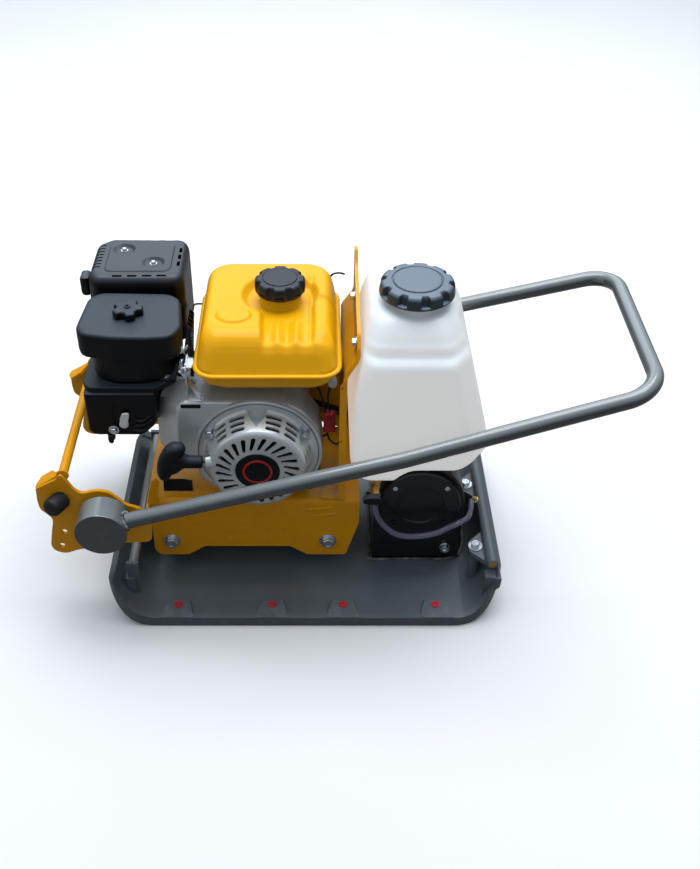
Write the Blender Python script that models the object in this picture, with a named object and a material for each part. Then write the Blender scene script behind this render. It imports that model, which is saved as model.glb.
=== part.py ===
# Forward plate compactor with petrol engine, sprinkler tank and fold-over handle.
# Origin: centre of the underside of the base plate.  +X front, +Z up, Y along the
# engine crankshaft; "near" is the -Y side and "far" the +Y side.
# Drawn in millimetres, built in metres.
import math

import bmesh
import bpy
from mathutils import Vector

MM = 0.001
SIDES = ((-1, "near"), (1, "far"))

# ---- driving dimensions (mm); centres of Y axes are (X, Z) ----------------------
FIT = 0.3                                   # clearance between neighbouring pieces
PLATE_L, PLATE_W, PLATE_T = 644.0, 454.0, 12.0
CRANK = CRANK_X, CRANK_Z = (-76.6, 270.0)
CRANK_R = 14
EXCITER = EXCITER_X, EXCITER_Z = (187.0, 147.0)
EXCITER_R, EXCITER_HALF_W = 74.7, 84
EXCITER_SHAFT_R = 15
CLUTCH_PULLEY_R, EXCITER_PULLEY_R = 50.0, 33.0
BELT_Y = 140.0
SHAFT_END_Y = 152                           # far end of crankshaft and exciter shaft
BED_Y, BED_T, BED_TOP = 100.0, 6.0, 164.0   # engine bed half width, sheet, top face
MOUNT_XS, MOUNT_Z = (-230.5, 34.5), 72.0
MOUNT_Y = 62                                # inner end of a rubber mount
MOUNT_HOLE_R = 6.5
BRACKET_Y, BRACKET_T = 155.0, 6             # handle bracket mid-plane and thickness
BRACKET_INNER_Y = BRACKET_Y - BRACKET_T / 2
BRACKET_OUTER_Y = BRACKET_Y + BRACKET_T / 2
HANDLE_PIVOT = PIVOT_X, PIVOT_Z = (-320.5, 192.0)
FUEL_TANK_BOTTOM = 394
FUEL_CAP = (-41.5, 30.0, 480.0)
WATER_CAP = (166.0, -18.0, 500.0)
FILTER_KNOB = (-271, -27, 478)
LIFT_ROD = LIFT_ROD_X, LIFT_ROD_Z = (-286, 82)
SPRAY_LUG_YS, SPRAY_LUG_TOP = (-128, 27), 76

# name: (RGB base colour, metallic, roughness)
MATERIALS = {
    "yellow_paint": ((0.85, 0.42, 0.02), 0.0, 0.35),
    "anthracite_paint": ((0.045, 0.055, 0.065), 0.2, 0.5),
    "slate_paint": ((0.06, 0.08, 0.09), 0.2, 0.3),
    "black_plastic": ((0.012, 0.013, 0.015), 0.0, 0.4),
    "black_metal": ((0.015, 0.017, 0.02), 0.3, 0.4),
    "silver_paint": ((0.38, 0.4, 0.4), 0.6, 0.4),
    "cast_aluminium": ((0.45, 0.46, 0.46), 0.8, 0.5),
    "bright_steel": ((0.55, 0.56, 0.58), 0.9, 0.3),
    "rubber": ((0.01, 0.01, 0.01), 0.0, 0.8),
    "white_plastic": ((0.8, 0.82, 0.82), 0.0, 0.4),
    "cap_plastic": ((0.03, 0.033, 0.038), 0.0, 0.45),
    "brass": ((0.6, 0.4, 0.15), 0.9, 0.35),
    "clear_hose": ((0.5, 0.52, 0.6), 0.0, 0.2),
}


def make_material(name, rgb, metallic, roughness):
    material = bpy.data.materials.new(name)
    material.use_nodes = True
    inputs = material.node_tree.nodes["Principled BSDF"].inputs
    inputs["Base Color"].default_value = (*rgb, 1.0)
    inputs["Metallic"].default_value = metallic
    inputs["Roughness"].default_value = roughness
    material.diffuse_color = (*rgb, 1.0)


# ---- outlines: lists of 2D points ------------------------------------------------
def arc(centre, radius, start, sweep, steps):
    angles = [start + sweep * k / steps for k in range(steps + 1)]
    return [(centre[0] + radius * math.cos(angle), centre[1] + radius * math.sin(angle))
            for angle in angles]


def circle(centre, radius, count):
    return arc(centre, radius, 0, math.tau, count)[:-1]


def lobed(centre, radii, repeats, start=0.0):
    """Outline whose radius runs through radii again and again."""
    points = []
    count = len(radii) * repeats
    for k in range(count):
        angle = math.tau * k / count + start
        radius = radii[k % len(radii)]
        points.append((centre[0] + radius * math.cos(angle), centre[1] + radius * math.sin(angle)))
    return points


def rounded_rect(x0, x1, y0, y1, corner, steps):
    points = []
    for x, y, start in ((x1 - corner, y1 - corner, 0), (x0 + corner, y1 - corner, 90),
                        (x0 + corner, y0 + corner, 180), (x1 - corner, y0 + corner, 270)):
        for k in range(steps + 1):
            angle = math.radians(start + 90.0 * k / steps)
            points.append((x + corner * math.cos(angle), y + corner * math.sin(angle)))
    return points


def span(side, inner, outer):
    """Ascending Y range between two distances from the mid-plane."""
    return sorted((side * inner, side * outer))


def on_side(side, profile):
    """Revolve profile with its distances along the axis sent to one side."""
    return [(radius, side * along) for radius, along in profile]


def shrink(footprint, inset):
    x0, x1, y0, y1 = footprint
    return x0 + inset, x1 - inset, y0 + inset, y1 - inset


# ---- shapes: each returns (vertices in mm, faces), one closed body ----------------
def put(axis, across_a, across_b, along):
    """Point from two coordinates across the axis, in XYZ order, and one along it."""
    return {"x": (along, across_a, across_b),
            "y": (across_a, along, across_b),
            "z": (across_a, across_b, along)}[axis]


def box(x0, x1, y0, y1, z0, z1):
    verts = [(x, y, z) for x in (x0, x1) for y in (y0, y1) for z in (z0, z1)]
    faces = [(0, 1, 3, 2), (4, 6, 7, 5), (0, 4, 5, 1), (2, 3, 7, 6), (0, 2, 6, 4), (1, 5, 7, 3)]
    return verts, faces


def loft(rings, closed=False):
    """Skin over equal rings; closed joins the last to the first, else the ends are capped."""
    count, total = len(rings[0]), len(rings)
    verts = [point for ring in rings for point in ring]
    faces = []
    for i in range(total if closed else total - 1):
        j = (i + 1) % total
        for k in range(count):
            after = (k + 1) % count
            faces.append((i * count + k, i * count + after, j * count + after, j * count + k))
    if not closed:
        faces.append(tuple(range(count)))
        faces.append(tuple((total - 1) * count + k for k in range(count)))
    return verts, faces


def prism(axis, outline, low, high):
    return loft([[put(axis, *point, along) for point in outline] for along in (low, high)])


def cylinder(axis, centre, radius, low, high, count=16):
    return prism(axis, circle(centre, radius, count), low, high)


def revolve(axis, centre, profile, count=20):
    """Revolve (radius, along); starts and ends at radius 0, or else makes a ring."""
    verts, faces, rows = [], [], []
    for radius, along in profile:
        rows.append((len(verts), radius == 0))
        points = [centre] if radius == 0 else circle(centre, radius, count)
        verts.extend(put(axis, *point, along) for point in points)
    following = rows[1:]
    if not any(is_tip for _, is_tip in rows):
        following = following + rows[:1]
    for (row, tip), (next_row, next_tip) in zip(rows, following):
        for k in range(count):
            after = (k + 1) % count
            if tip:
                faces.append((row, next_row + after, next_row + k))
            elif next_tip:
                faces.append((row + k, row + after, next_row))
            else:
                faces.append((row + k, row + after, next_row + after, next_row + k))
    return verts, faces


def rounded_loft(stations, steps=2):
    """Loft up Z through rounded rectangles (x0, x1, y0, y1, z, corner radius)."""
    return loft([[(x, y, z) for x, y in rounded_rect(x0, x1, y0, y1, corner, steps)]
                 for x0, x1, y0, y1, z, corner in stations])


def rounded_box(footprint, levels, corner, steps=2):
    """Rounded column on (x0, x1, y0, y1); levels = [(z, inset)]."""
    return rounded_loft([(*shrink(footprint, inset), z, max(corner - inset * 0.6, 2.0))
                         for z, inset in levels], steps)


def fillet_path(corners, radii, steps):
    """Polyline in space with its corners rounded where the radius is not 0."""
    corners = [Vector(corner) for corner in corners]
    path = []
    for i, (corner, radius) in enumerate(zip(corners, radii)):
        if radius == 0:
            path.append(corner)
            continue
        back = (corners[i - 1] - corner).normalized()
        ahead = (corners[i + 1] - corner).normalized()
        half_angle = back.angle(ahead) / 2
        setback = radius / math.tan(half_angle)
        centre = corner + (back + ahead).normalized() * (radius / math.sin(half_angle))
        first = corner + back * setback - centre
        last = corner + ahead * setback - centre
        sweep = first.angle(last)
        for k in range(steps + 1):
            part = k / steps
            blend = first * math.sin((1 - part) * sweep) + last * math.sin(part * sweep)
            path.append(centre + blend / math.sin(sweep))
    return path


def tube(path, radius, count):
    """Round bar along a path, its section carried along without twist."""
    points = [Vector(point) for point in path]
    runs = [(end - start).normalized() for start, end in zip(points, points[1:])]
    bends = [(before + after).normalized() for before, after in zip(runs, runs[1:])]
    tangents = [runs[0]] + bends + [runs[-1]]
    normal = Vector((0, 0, 1)) if abs(runs[0].z) < 0.9 else Vector((1, 0, 0))
    rings = []
    for point, tangent in zip(points, tangents):
        normal = (normal - tangent * normal.dot(tangent)).normalized()
        across = tangent.cross(normal)
        rings.append([tuple(point + normal * u + across * w)
                      for u, w in circle((0, 0), radius, count)])
    return loft(rings)


# ---- objects -------------------------------------------------------------------------
def add_object(name, shape):
    verts, faces = shape
    mesh = bpy.data.meshes.new(name)
    mesh.from_pydata([(x * MM, y * MM, z * MM) for x, y, z in verts], [], faces)
    edit = bmesh.new()
    edit.from_mesh(mesh)
    bmesh.ops.recalc_face_normals(edit, faces=edit.faces)
    edit.to_mesh(mesh)
    edit.free()
    obj = bpy.data.objects.new(name, mesh)
    bpy.context.scene.collection.objects.link(obj)
    return obj


def apply_boolean(obj, operation, shape):
    tool = add_object(obj.name + "_tool", shape)
    modifier = obj.modifiers.new(operation, "BOOLEAN")
    modifier.operation = operation
    modifier.solver = "EXACT"
    modifier.object = tool
    bpy.context.view_layer.update()
    evaluated = obj.evaluated_get(bpy.context.evaluated_depsgraph_get())
    mesh = bpy.data.meshes.new_from_object(evaluated)
    obj.modifiers.clear()
    obj.data = mesh
    bpy.data.objects.remove(tool, do_unlink=True)
    edit = bmesh.new()
    edit.from_mesh(mesh)
    bmesh.ops.remove_doubles(edit, verts=edit.verts, dist=1e-6)
    edit.to_mesh(mesh)
    edit.free()


def piece(name, material, add, cut=(), common=(), pivot=None):
    """Fuse add, take away cut, keep what lies inside common, put the origin on pivot."""
    obj = add_object(name, add[0])
    for operation, shapes in (("UNION", add[1:]), ("DIFFERENCE", cut), ("INTERSECT", common)):
        for shape in shapes:
            apply_boolean(obj, operation, shape)
    mesh = obj.data
    mesh.name = name
    mesh.materials.clear()
    mesh.materials.append(bpy.data.materials[material])
    mesh.shade_smooth()
    mesh.set_sharp_from_angle(angle=math.radians(34))
    if pivot is not None:
        origin = Vector(pivot) * MM
        for vertex in mesh.vertices:
            vertex.co -= origin
        obj.location = origin


# ---- base plate ------------------------------------------------------------------------
def base_plate():
    half_l, half_w = PLATE_L / 2, PLATE_W / 2
    # (X, Z): underside from rear to front, then the top back to the rear
    profile = [
        (-half_l, 64), (-312, 39), (-292, 16), (-266, 3), (-238, 0),
        (252, 0), (276, 3), (299, 17), (314, 41), (half_l, 70),
        (312, 78), (301, 50), (289, 29), (276, 17), (263, PLATE_T),
        (-236, PLATE_T), (-260, 14), (-283, 27), (-300, 48), (-309, 74)]
    # (X, Y): plan with its corners cut off
    end = half_l + 2
    plan = [
        (-end, -150), (-292, -206), (-236, -half_w), (236, -half_w), (292, -206), (end, -150),
        (end, 150), (292, 206), (236, half_w), (-236, half_w), (-292, 206), (-end, 150)]
    add = [prism("y", profile, -half_w - 2, half_w + 2)]
    for side, _ in SIDES:
        # rail along the edge
        add.append(box(-232, 244, *span(side, half_w - 13, half_w - 0.5), 6, 16.5))
        # blocks on the edge, narrowing towards the middle
        edge, low_end, high_end = (side * (half_w - inset) for inset in (0.7, 42, 34))
        for x in (-214.5, -58.5, 58.5, 212.5):
            add.append(loft([
                [(x - 26, edge, 5), (x + 26, edge, 5),
                 (x + 16.577, low_end, 5), (x - 16.577, low_end, 5)],
                [(x - 22, edge, 20), (x + 22, edge, 20),
                 (x + 14.4023, high_end, 20), (x - 14.4023, high_end, 20)]]))
        # uprights for the rubber mounts
        for x in MOUNT_XS:
            upright = [(x - 24, 6), (x + 24, 6), (x + 20, 88),
                       (x + 12, 96), (x - 12, 96), (x - 20, 88)]
            add.append(prism("y", upright, *span(side, 52, MOUNT_Y - FIT)))
        # web in the front curve
        web = [(288, 22), (318, 50), (318, 72), (290, 72)]
        add.append(prism("y", web, *span(side, 170, 196)))
    # two lugs that carry the spray bar
    for y in SPRAY_LUG_YS:
        add.append(box(266, 296, y - 4, y + 4, 10, SPRAY_LUG_TOP - FIT))
    # bar across the rear curve, and lugs at the ends of the lifting rod
    add.append(box(-300, -284, -180, 180, 24, 60))
    for side, _ in SIDES:
        add.append(box(LIFT_ROD_X - 10, LIFT_ROD_X + 10, *span(side, 168.4, 176), 30, 93))
    piece("base_plate", "anthracite_paint", add, common=[prism("z", plan, -5, 120)])
    piece("rear_lift_rod", "slate_paint", [cylinder("y", LIFT_ROD, 7, -168, 168, 10)])


# ---- exciter ---------------------------------------------------------------------------
def exciter():
    bore = EXCITER_SHAFT_R + FIT
    seat = EXCITER_HALF_W + FIT                 # where a cover meets the housing end
    piece("exciter_housing", "black_metal",
          [cylinder("y", EXCITER, EXCITER_R, -EXCITER_HALF_W, EXCITER_HALF_W, 28),
           box(EXCITER_X - 75, EXCITER_X + 75, -83.9, 83.9, 12.4, EXCITER_Z)],
          cut=[cylinder("y", EXCITER, 50, -90, 90, 24),
               box(EXCITER_X - 63, EXCITER_X + 63, -70, 70, -5, 84)])
    piece("exciter_cover_near", "black_metal", [revolve("y", EXCITER, [
        (0, -76.3), (47, -76.3), (47, -seat), (67, -seat), (67, -92),
        (64, -94.5), (40, -94.5), (39, -92.5), (0, -92.5)])])
    # the far cover is a ring, open for the shaft
    piece("exciter_cover_far", "black_metal", [revolve("y", EXCITER, [
        (15.4, 93), (64, 93), (67, 91), (67, seat), (47, seat), (47, 76.3), (15.4, 76.3)])])
    for side, tag in SIDES:
        bearing = on_side(side, [(bore, 58), (49.2, 58), (49.2, 75.8), (bore, 75.8)])
        piece("exciter_bearing_" + tag, "bright_steel", [revolve("y", EXCITER, bearing, 16)])
    # shaft with its half-round weight below
    piece("exciter_shaft", "bright_steel",
          [cylinder("y", EXCITER, EXCITER_SHAFT_R, -75.5, SHAFT_END_Y),
           prism("y", arc(EXCITER, 44, math.pi, math.pi, 10), -52, 52)],
          pivot=(EXCITER_X, 0, EXCITER_Z))


# ---- belt drive --------------------------------------------------------------------------
BELT_RISE = math.atan2(EXCITER_Z - CRANK_Z, EXCITER_X - CRANK_X)   # crank to exciter


def pulley(name, centre, radius, y0, y1, bore):
    """V pulley with one groove centred on BELT_Y."""
    root = radius - 9
    profile = [(bore, y0), (radius, y0), (radius, BELT_Y - 7), (root, BELT_Y - 3.6),
               (root, BELT_Y + 3.6), (radius, BELT_Y + 7), (radius, y1), (bore, y1)]
    piece(name, "cast_aluminium", [revolve("y", centre, profile, 16)],
          pivot=(centre[0], 0, centre[1]))


def belt_outline(offset):
    """Line of the belt round both pulleys, offset from the pulley radii."""
    distance = math.hypot(EXCITER_X - CRANK_X, EXCITER_Z - CRANK_Z)
    contact = math.acos((CLUTCH_PULLEY_R - EXCITER_PULLEY_R) / distance)
    return (arc(CRANK, CLUTCH_PULLEY_R + offset, BELT_RISE + contact, math.tau - 2 * contact, 12)
            + arc(EXCITER, EXCITER_PULLEY_R + offset, BELT_RISE - contact, 2 * contact, 8))


def drive_belt():
    # V section that stands clear of both grooves
    lift = 0.45 / math.cos(math.pi / 12)
    inner, outer = lift * 1.2 - 8.2, lift - 1.0
    section = [(inner, BELT_Y - 3.0), (outer, BELT_Y - 5.8),
               (outer, BELT_Y + 5.8), (inner, BELT_Y + 3.0)]
    edges = [[(x, y, z) for x, z in belt_outline(offset)] for offset, y in section]
    piece("drive_belt", "rubber", [loft(list(zip(*edges)), closed=True)])


def belt_guard():
    """Pan open towards the machine."""
    wall = 3

    def outline(inset):
        return (arc(CRANK, 66 - inset, BELT_RISE + 1.62, 3.04, 8)
                + arc(EXCITER, 50 - inset, BELT_RISE - 1.5, 3.0, 8))

    piece("belt_guard", "yellow_paint", [prism("y", outline(0), 116, 168)],
          cut=[prism("y", outline(wall), 100, 168 - wall)])


# ---- rubber mounts and engine bed ----------------------------------------------------------
def rubber_mounts():
    head = BED_Y + FIT
    bolt = [(0, 85), (6, 85), (6, head), (14, head), (14, 103), (10, 103), (9.5, 111), (0, 111)]
    for x, end in zip(MOUNT_XS, ("rear_", "front_")):
        centre = (x, MOUNT_Z)
        for side, tag in SIDES:
            outer = BED_Y - BED_T - FIT
            piece("rubber_mount_" + end + tag, "rubber",
                  [cylinder("y", centre, 23, *span(side, MOUNT_Y, outer))],
                  cut=[cylinder("y", centre, MOUNT_HOLE_R, *span(side, 84, 96), 10)])
            piece("mount_bolt_" + end + tag, "bright_steel",
                  [revolve("y", centre, on_side(side, bolt), 12)])


def engine_bed():
    # (X, Z) of the side walls and of the ears at their rear ends
    wall = [(-261, 160), (-261, 38), (-204.5, 38), (-175.5, 58), (-29.5, 58),
            (-0.5, 38), (65, 38), (86, 113), (86, 160)]
    ear = [(-268, 134), (-268, 146), (-254, 206), (-241, 200), (-247, 150)]
    inner = BED_Y - BED_T
    add = [box(-261, 86, -BED_Y, BED_Y, BED_TOP - BED_T, BED_TOP)]
    cut = []
    for side, _ in SIDES:
        low, high = span(side, inner, BED_Y)
        add.append(prism("y", wall, low, high))
        add.append(prism("y", ear, *span(side, inner, BED_Y - 0.2)))
        for x in MOUNT_XS:
            cut.append(cylinder("y", (x, MOUNT_Z), MOUNT_HOLE_R, low - 2, high + 2, 10))
    # cross plate between the handle brackets
    add.append(box(-266, -260, -151.6, 151.6, 130, 156))
    piece("engine_bed", "yellow_paint", add, cut)


# ---- handle and its brackets -----------------------------------------------------------------
def handle_brackets():
    # (X, Z), starting at the rear and going over the top
    outline = [
        (-423, 243), (-390, 262), (-379.5, 280), (-366, 262), (-365.7, 231),
        (-345, 227.6), (-320, 235.6), (-300, 229.5), (-279.8, 205), (-268, 200),
        (-250, 159), (-254, 130), (-291, 124), (-373.4, 108), (-393.4, 100.2),
        (-408.7, 103.6), (-416.5, 119), (-407.2, 175), (-423.8, 196), (-424, 210)]
    holes = [(-392, 148), (-400, 117), (-398, 178)]
    seat = BRACKET_OUTER_Y + FIT
    stop = [(0, seat), (15.5, seat), (15.5, 190), (13, 193), (0, 193)]
    pin = [(0, seat), (26, seat), (26, 165.6), (14.6, 165.6), (14.6, 198), (0, 198)]
    for side, tag in SIDES:
        low, high = span(side, BRACKET_INNER_Y, BRACKET_OUTER_Y)
        piece("handle_bracket_" + tag, "yellow_paint", [prism("y", outline, low, high)],
              cut=[cylinder("y", hole, 5, low - 2, high + 2, 10) for hole in holes])
        piece("handle_stop_" + tag, "rubber",
              [revolve("y", (-388, 221), on_side(side, stop), 16)])
        piece("handle_pivot_" + tag, "bright_steel",
              [revolve("y", HANDLE_PIVOT, on_side(side, pin))])
    reach = BRACKET_INNER_Y - FIT
    piece("rear_cross_tube", "yellow_paint", [cylinder("y", (-379.5, 264), 8, -reach, reach)])


def handle_frame():
    rise = math.radians(16.28)
    arm_y, grip_half_w = 190.9, 166.6
    # (distance up the arm from the pivot, Y, bend radius), far side
    far = [(30, arm_y, 0), (483.6, arm_y, 150), (869.8, grip_half_w, 55.0)]
    stations = [(along, -y, bend) for along, y, bend in far] + far[::-1]
    corners = [(PIVOT_X + along * math.cos(rise), y, PIVOT_Z + along * math.sin(rise))
               for along, y, _ in stations]
    path = fillet_path(corners, [bend for _, _, bend in stations], 4)
    # drums that turn on the pivots
    drum_r, drum_y0, drum_y1 = 41.0, 166.0, 212.0
    drum = [(0, 199.5), (15, 199.5), (15, drum_y0), (drum_r - 1, drum_y0),
            (drum_r, drum_y0 + 2), (drum_r, drum_y1 - 3), (drum_r - 3, drum_y1), (0, drum_y1)]
    drums = [revolve("y", HANDLE_PIVOT, on_side(side, drum)) for side, _ in SIDES]
    piece("handle_frame", "slate_paint", [tube(path, 12.5, 12)] + drums,
          pivot=(PIVOT_X, 0, PIVOT_Z))


# ---- engine ------------------------------------------------------------------------------------
CRANK_PIVOT = (CRANK_X, 0, CRANK_Z)


def crankcase():
    # finned barrel, cast in one with the crankcase; every other fin is 1 mm shorter
    add = [box(-228, -160, -18, 72, 262, 330)]
    for i in range(4):
        z = 266 + i * 17
        add.append(box(-232 + i % 2, -171, -28, 82, z, z + 5))
    # two posts up to the fuel tank
    for x in (-110, -30):
        add.append(box(x, x + 18, 30, 78, 322, FUEL_TANK_BOTTOM - FIT))
    # block, foot, boss round the crank and wedge on the rear face
    add += [
        box(-150, 2, -36, 92, 172, 330),
        box(-168, 18, -30, 86, BED_TOP + FIT, 174),
        revolve("y", CRANK, [(0, -37.5), (52, -37.5), (56, -30), (56, 100), (48, 108), (0, 108)],
                24),
        prism("y", [(-150, 215), (-168, 230), (-168, 320), (-140, 330), (-130, 215)], -34, 80)]
    piece("crankcase", "cast_aluminium", add,
          cut=[cylinder("y", CRANK, 14.4, -60, 130), box(-132, -20, -26, 82, 190, 322)])


def crankshaft():
    # web outline (X, Z) from the crank axis
    web = [(-14, 10), (-40, -20), (-30, -42), (30, -42), (40, -20), (14, 10)]
    piece("crankshaft", "bright_steel",
          [cylinder("y", CRANK, CRANK_R, -112, SHAFT_END_Y),
           prism("y", [(CRANK_X + x, CRANK_Z + z) for x, z in web], 10, 24)],
          pivot=CRANK_PIVOT)


def flywheel_fan():
    bore = CRANK_R + FIT
    add = [revolve("y", CRANK, [(bore, -60), (78, -60), (78, -66), (60, -70), (60, -80),
                                (bore, -84)])]
    blades, half_t = 8, 1.6
    # blade corners: (radius, offset across the blade)
    corners = [(40, half_t), (82, half_t), (82, -half_t), (40, -half_t)]
    for i in range(blades):
        angle = math.tau * i / blades
        cos, sin = math.cos(angle), math.sin(angle)
        blade = [(CRANK_X + radius * cos - offset * sin, CRANK_Z + radius * sin + offset * cos)
                 for radius, offset in corners]
        add.append(prism("y", blade, -92, -62))
    piece("flywheel_fan", "cast_aluminium", add, pivot=CRANK_PIVOT)


def fan_cover():
    # (X, Z) of the outside and of the hollow
    outside = [
        (-176.5, 236), (-172, 215), (-150, 190), (-120, 174), (-76.6, 170), (-30, 178),
        (0, 200), (20, 235), (24.5, 270), (20, 305), (2, 340), (-20, 358), (-50, 366),
        (-200, 366), (-231, 340), (-239.5, 318), (-239.5, 244), (-214, 222)]
    hollow = [
        (-172, 262), (-166, 232), (-146, 202), (-116, 184), (-76.6, 178), (-34, 186),
        (-8, 206), (12, 238), (16, 270), (12, 302), (-6, 332), (-26, 350), (-54, 358),
        (-190, 358), (-203, 346), (-203, 262)]
    piece("fan_cover", "silver_paint", [prism("y", outside, -99, -38)],
          cut=[prism("y", hollow, -95.5, -30),
               cylinder("y", CRANK, 80, -110, -90, 28),
               # bevel on the near rear corner
               prism("z", [(-250, -50), (-250, -110), (-200, -110)], 200, 380)])


def recoil_starter():
    # dished shell with a slot for the rope
    shell = [
        (0, -150), (35, -150), (66, -146), (79, -136), (85, -122), (86, -104), (94, -103),
        (94, -99.3), (82.5, -99.3), (81, -121), (75, -133), (64, -141.5), (35, -145.6),
        (0, -145.6)]
    grip_x, grip_y, grip_z = -206, -134, 280
    piece("recoil_cover", "silver_paint", [revolve("y", CRANK, shell, 24)],
          cut=[box(-164, -137, -143, -134.4, grip_z - 4, grip_z + 4)])
    reel_r = 52.0
    flange_r = reel_r + 6
    piece("starter_reel", "black_plastic", [revolve("y", CRANK, [
        (0, -136), (flange_r, -136), (flange_r, -133), (reel_r, -131),
        (reel_r, -117), (flange_r, -115), (flange_r, -113.2), (0, -113.2)])],
        pivot=CRANK_PIVOT)
    # pull grip with the first length of its rope, straight out of the slot
    # grip stations: (X, half width in Y, half height in Z)
    stations = [(-165, 9, 9), (-192, 9.4, 9.4), (-200, 9.6, 14), (-208, 9.8, 22),
                (-216, 10, 33), (-230, 9, 33), (-237, 5, 26)]
    unit = circle((0, 0), 1, 10)
    grip = loft([[(x, grip_y + half_y * y, grip_z + half_z * z) for y, z in unit]
                 for x, half_y, half_z in stations])
    piece("starter_grip", "black_plastic",
          [cylinder("x", (-138.8, grip_z), 1.8, grip_x, -34, 6), grip],
          pivot=(grip_x, grip_y, grip_z))


def cylinder_head():
    plug_y, plug_z = 40, 304
    piece("cylinder_head", "cast_aluminium",
          [box(-262, -232.4, -20, 74, 272, 336), box(-268, -258, -8, 62, 278, 330)],
          cut=[cylinder("x", (plug_y, plug_z), 8, -280, -254, 12)])
    path = fillet_path([(-262, plug_y, plug_z), (-288, plug_y, plug_z), (-290, 52, 330)],
                       [0, 8, 0], 3)
    piece("spark_plug_cap", "black_plastic", [tube(path, 7.5, 10)])


# ---- air filter and carburettor, near rear corner ------------------------------------------------
def air_filter():
    knob = FILTER_KNOB[:2]
    piece("air_filter_base", "black_plastic",
          [rounded_box((-345, -203, -92, 34), [(374, 2), (382, 0)], 16),
           rounded_box((-329, -209, -84, 26), [(380, 0), (435.6, 0)], 40)])
    piece("air_filter_cover", "black_plastic",
          [rounded_box((-346, -190, -93, 40),
                       [(436, 4), (440, 0), (468, 0), (476.5, 5), (479, 12)], 22, 3)],
          cut=[cylinder("z", knob, 6.6, 470, 488, 10)])
    star = lobed(knob, (21.5, 21.5, 16.5, 16.5), 5, start=0.3)
    piece("filter_knob", "black_plastic",
          [prism("z", star, 479.5, 492.5), cylinder("z", knob, 6, 472, 480.5, 12)],
          pivot=FILTER_KNOB)


def carburettor():
    choke = choke_x, choke_z = (-286, 318)
    valve = valve_x, valve_z = (-310, 288)
    cover_y = -88                               # near face of the cover
    bowl = (-287, -33)
    piece("carburettor_cover", "black_plastic",
          [rounded_box((-344, -240.5, cover_y, -50), [(272, 4), (280, 0), (373.6, 0)], 10)],
          cut=[box(-330, -250, -70, -40, 284, 366), cylinder("y", choke, 4.3, -95, -60, 10)])
    piece("carburettor", "cast_aluminium",
          [box(-312, -262, -44, -22, 286, 340),
           cylinder("z", bowl, 17, 268, 290, 14),
           cylinder("z", bowl, 16, 335, 373.7, 14),
           cylinder("x", (-33, 318), 10, -328, -310, 12),
           box(-264, -246, -46, -20.4, 292, 336)])
    piece("choke_lever", "white_plastic",
          [revolve("y", choke, [(0, -72), (4, -72), (4, -90.5), (7, -90.5), (7, -94), (0, -94)],
                   12),
           prism("y", [(-289, 318), (-283, 318), (-282, 338), (-286, 342), (-290, 338)],
                 -95, -91)],
          pivot=(choke_x, cover_y - FIT, choke_z))
    piece("fuel_valve_lever", "black_plastic",
          [revolve("y", valve, [(0, -92.5), (5, -92.5), (5, -88.4), (0, -88.4)], 12),
           prism("y", [(-313, 287), (-307, 287), (-304, 268), (-308, 264), (-314, 268)],
                 -96, -92)],
          pivot=(valve_x, cover_y - FIT, valve_z))


def throttle():
    """Plate and lever in front of the air filter."""
    centre = (-80, 415)                         # (Y, Z)
    piece("control_plate", "bright_steel",
          [box(-183, -180.5, -100, -40, 376, 430), box(-182, -172, -70, -60, 378, 381)],
          cut=[cylinder("x", centre, 4.3, -190, -170, 10)])
    piece("throttle_lever", "bright_steel",
          [revolve("x", centre, [(0, -190), (8, -190), (8, -186.5), (4, -186.5), (4, -177),
                                 (0, -177)], 12),
           prism("x", [(-83, 415), (-77, 415), (-76, 448), (-80, 452), (-84, 448)],
                 -189.5, -187)],
          pivot=(-185, *centre))


# ---- muffler under its guard, far rear corner ------------------------------------------------------
def muffler():
    piece("muffler", "black_metal",
          [rounded_box((-330, -212, 60, 152), [(386, 6), (392, 0), (470, 0), (478, 8)], 20),
           cylinder("z", (-245, 64), 11, 336.4, 400, 12)])
    guard = (-346, -198, 46, 166)
    # the guard has a square outlet on its rear face
    piece("muffler_guard", "black_metal",
          [rounded_box(guard, [(380, 0), (482, 0), (492, 4), (497, 12)], 24, 3),
           box(-362, -344, 74, 100, 456, 480)],
          cut=[rounded_box(shrink(guard, 2.5), [(370, 0), (482, 0), (490, 4), (494, 12)], 22, 3),
               box(-370, -350, 78, 96, 460, 476)])


# ---- tanks -------------------------------------------------------------------------------------------
def fuel_tank():
    footprint = (-167.0, 51.0, -121.0, 134.0)
    neck = FUEL_CAP[:2]
    # (Z, inset): two pressed halves with a rolled rim between them
    outside = [(FUEL_TANK_BOTTOM, 16), (402, 8), (421, 6), (423, 0), (430, 0),
               (432, 5), (462, 12), (474, 16), (479.5, 24)]
    hollow = [(398, 16), (404, 6), (460, 6), (474, 16)]
    piece("fuel_tank", "yellow_paint",
          [rounded_box(footprint, outside, 34, 3), cylinder("z", neck, 22, 470, 486)],
          cut=[rounded_box(shrink(footprint, 10), hollow, 26),
               cylinder("z", neck, 19, 465, 490)])
    piece("fuel_cap", "cap_plastic",
          [prism("z", lobed(neck, (37, 37, 37, 34), 8), 487, 508),
           cylinder("z", neck, 31, 507, 511, 24)],
          cut=[cylinder("z", neck, 22.5, 480, 502, 20)], pivot=FUEL_CAP)


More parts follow.
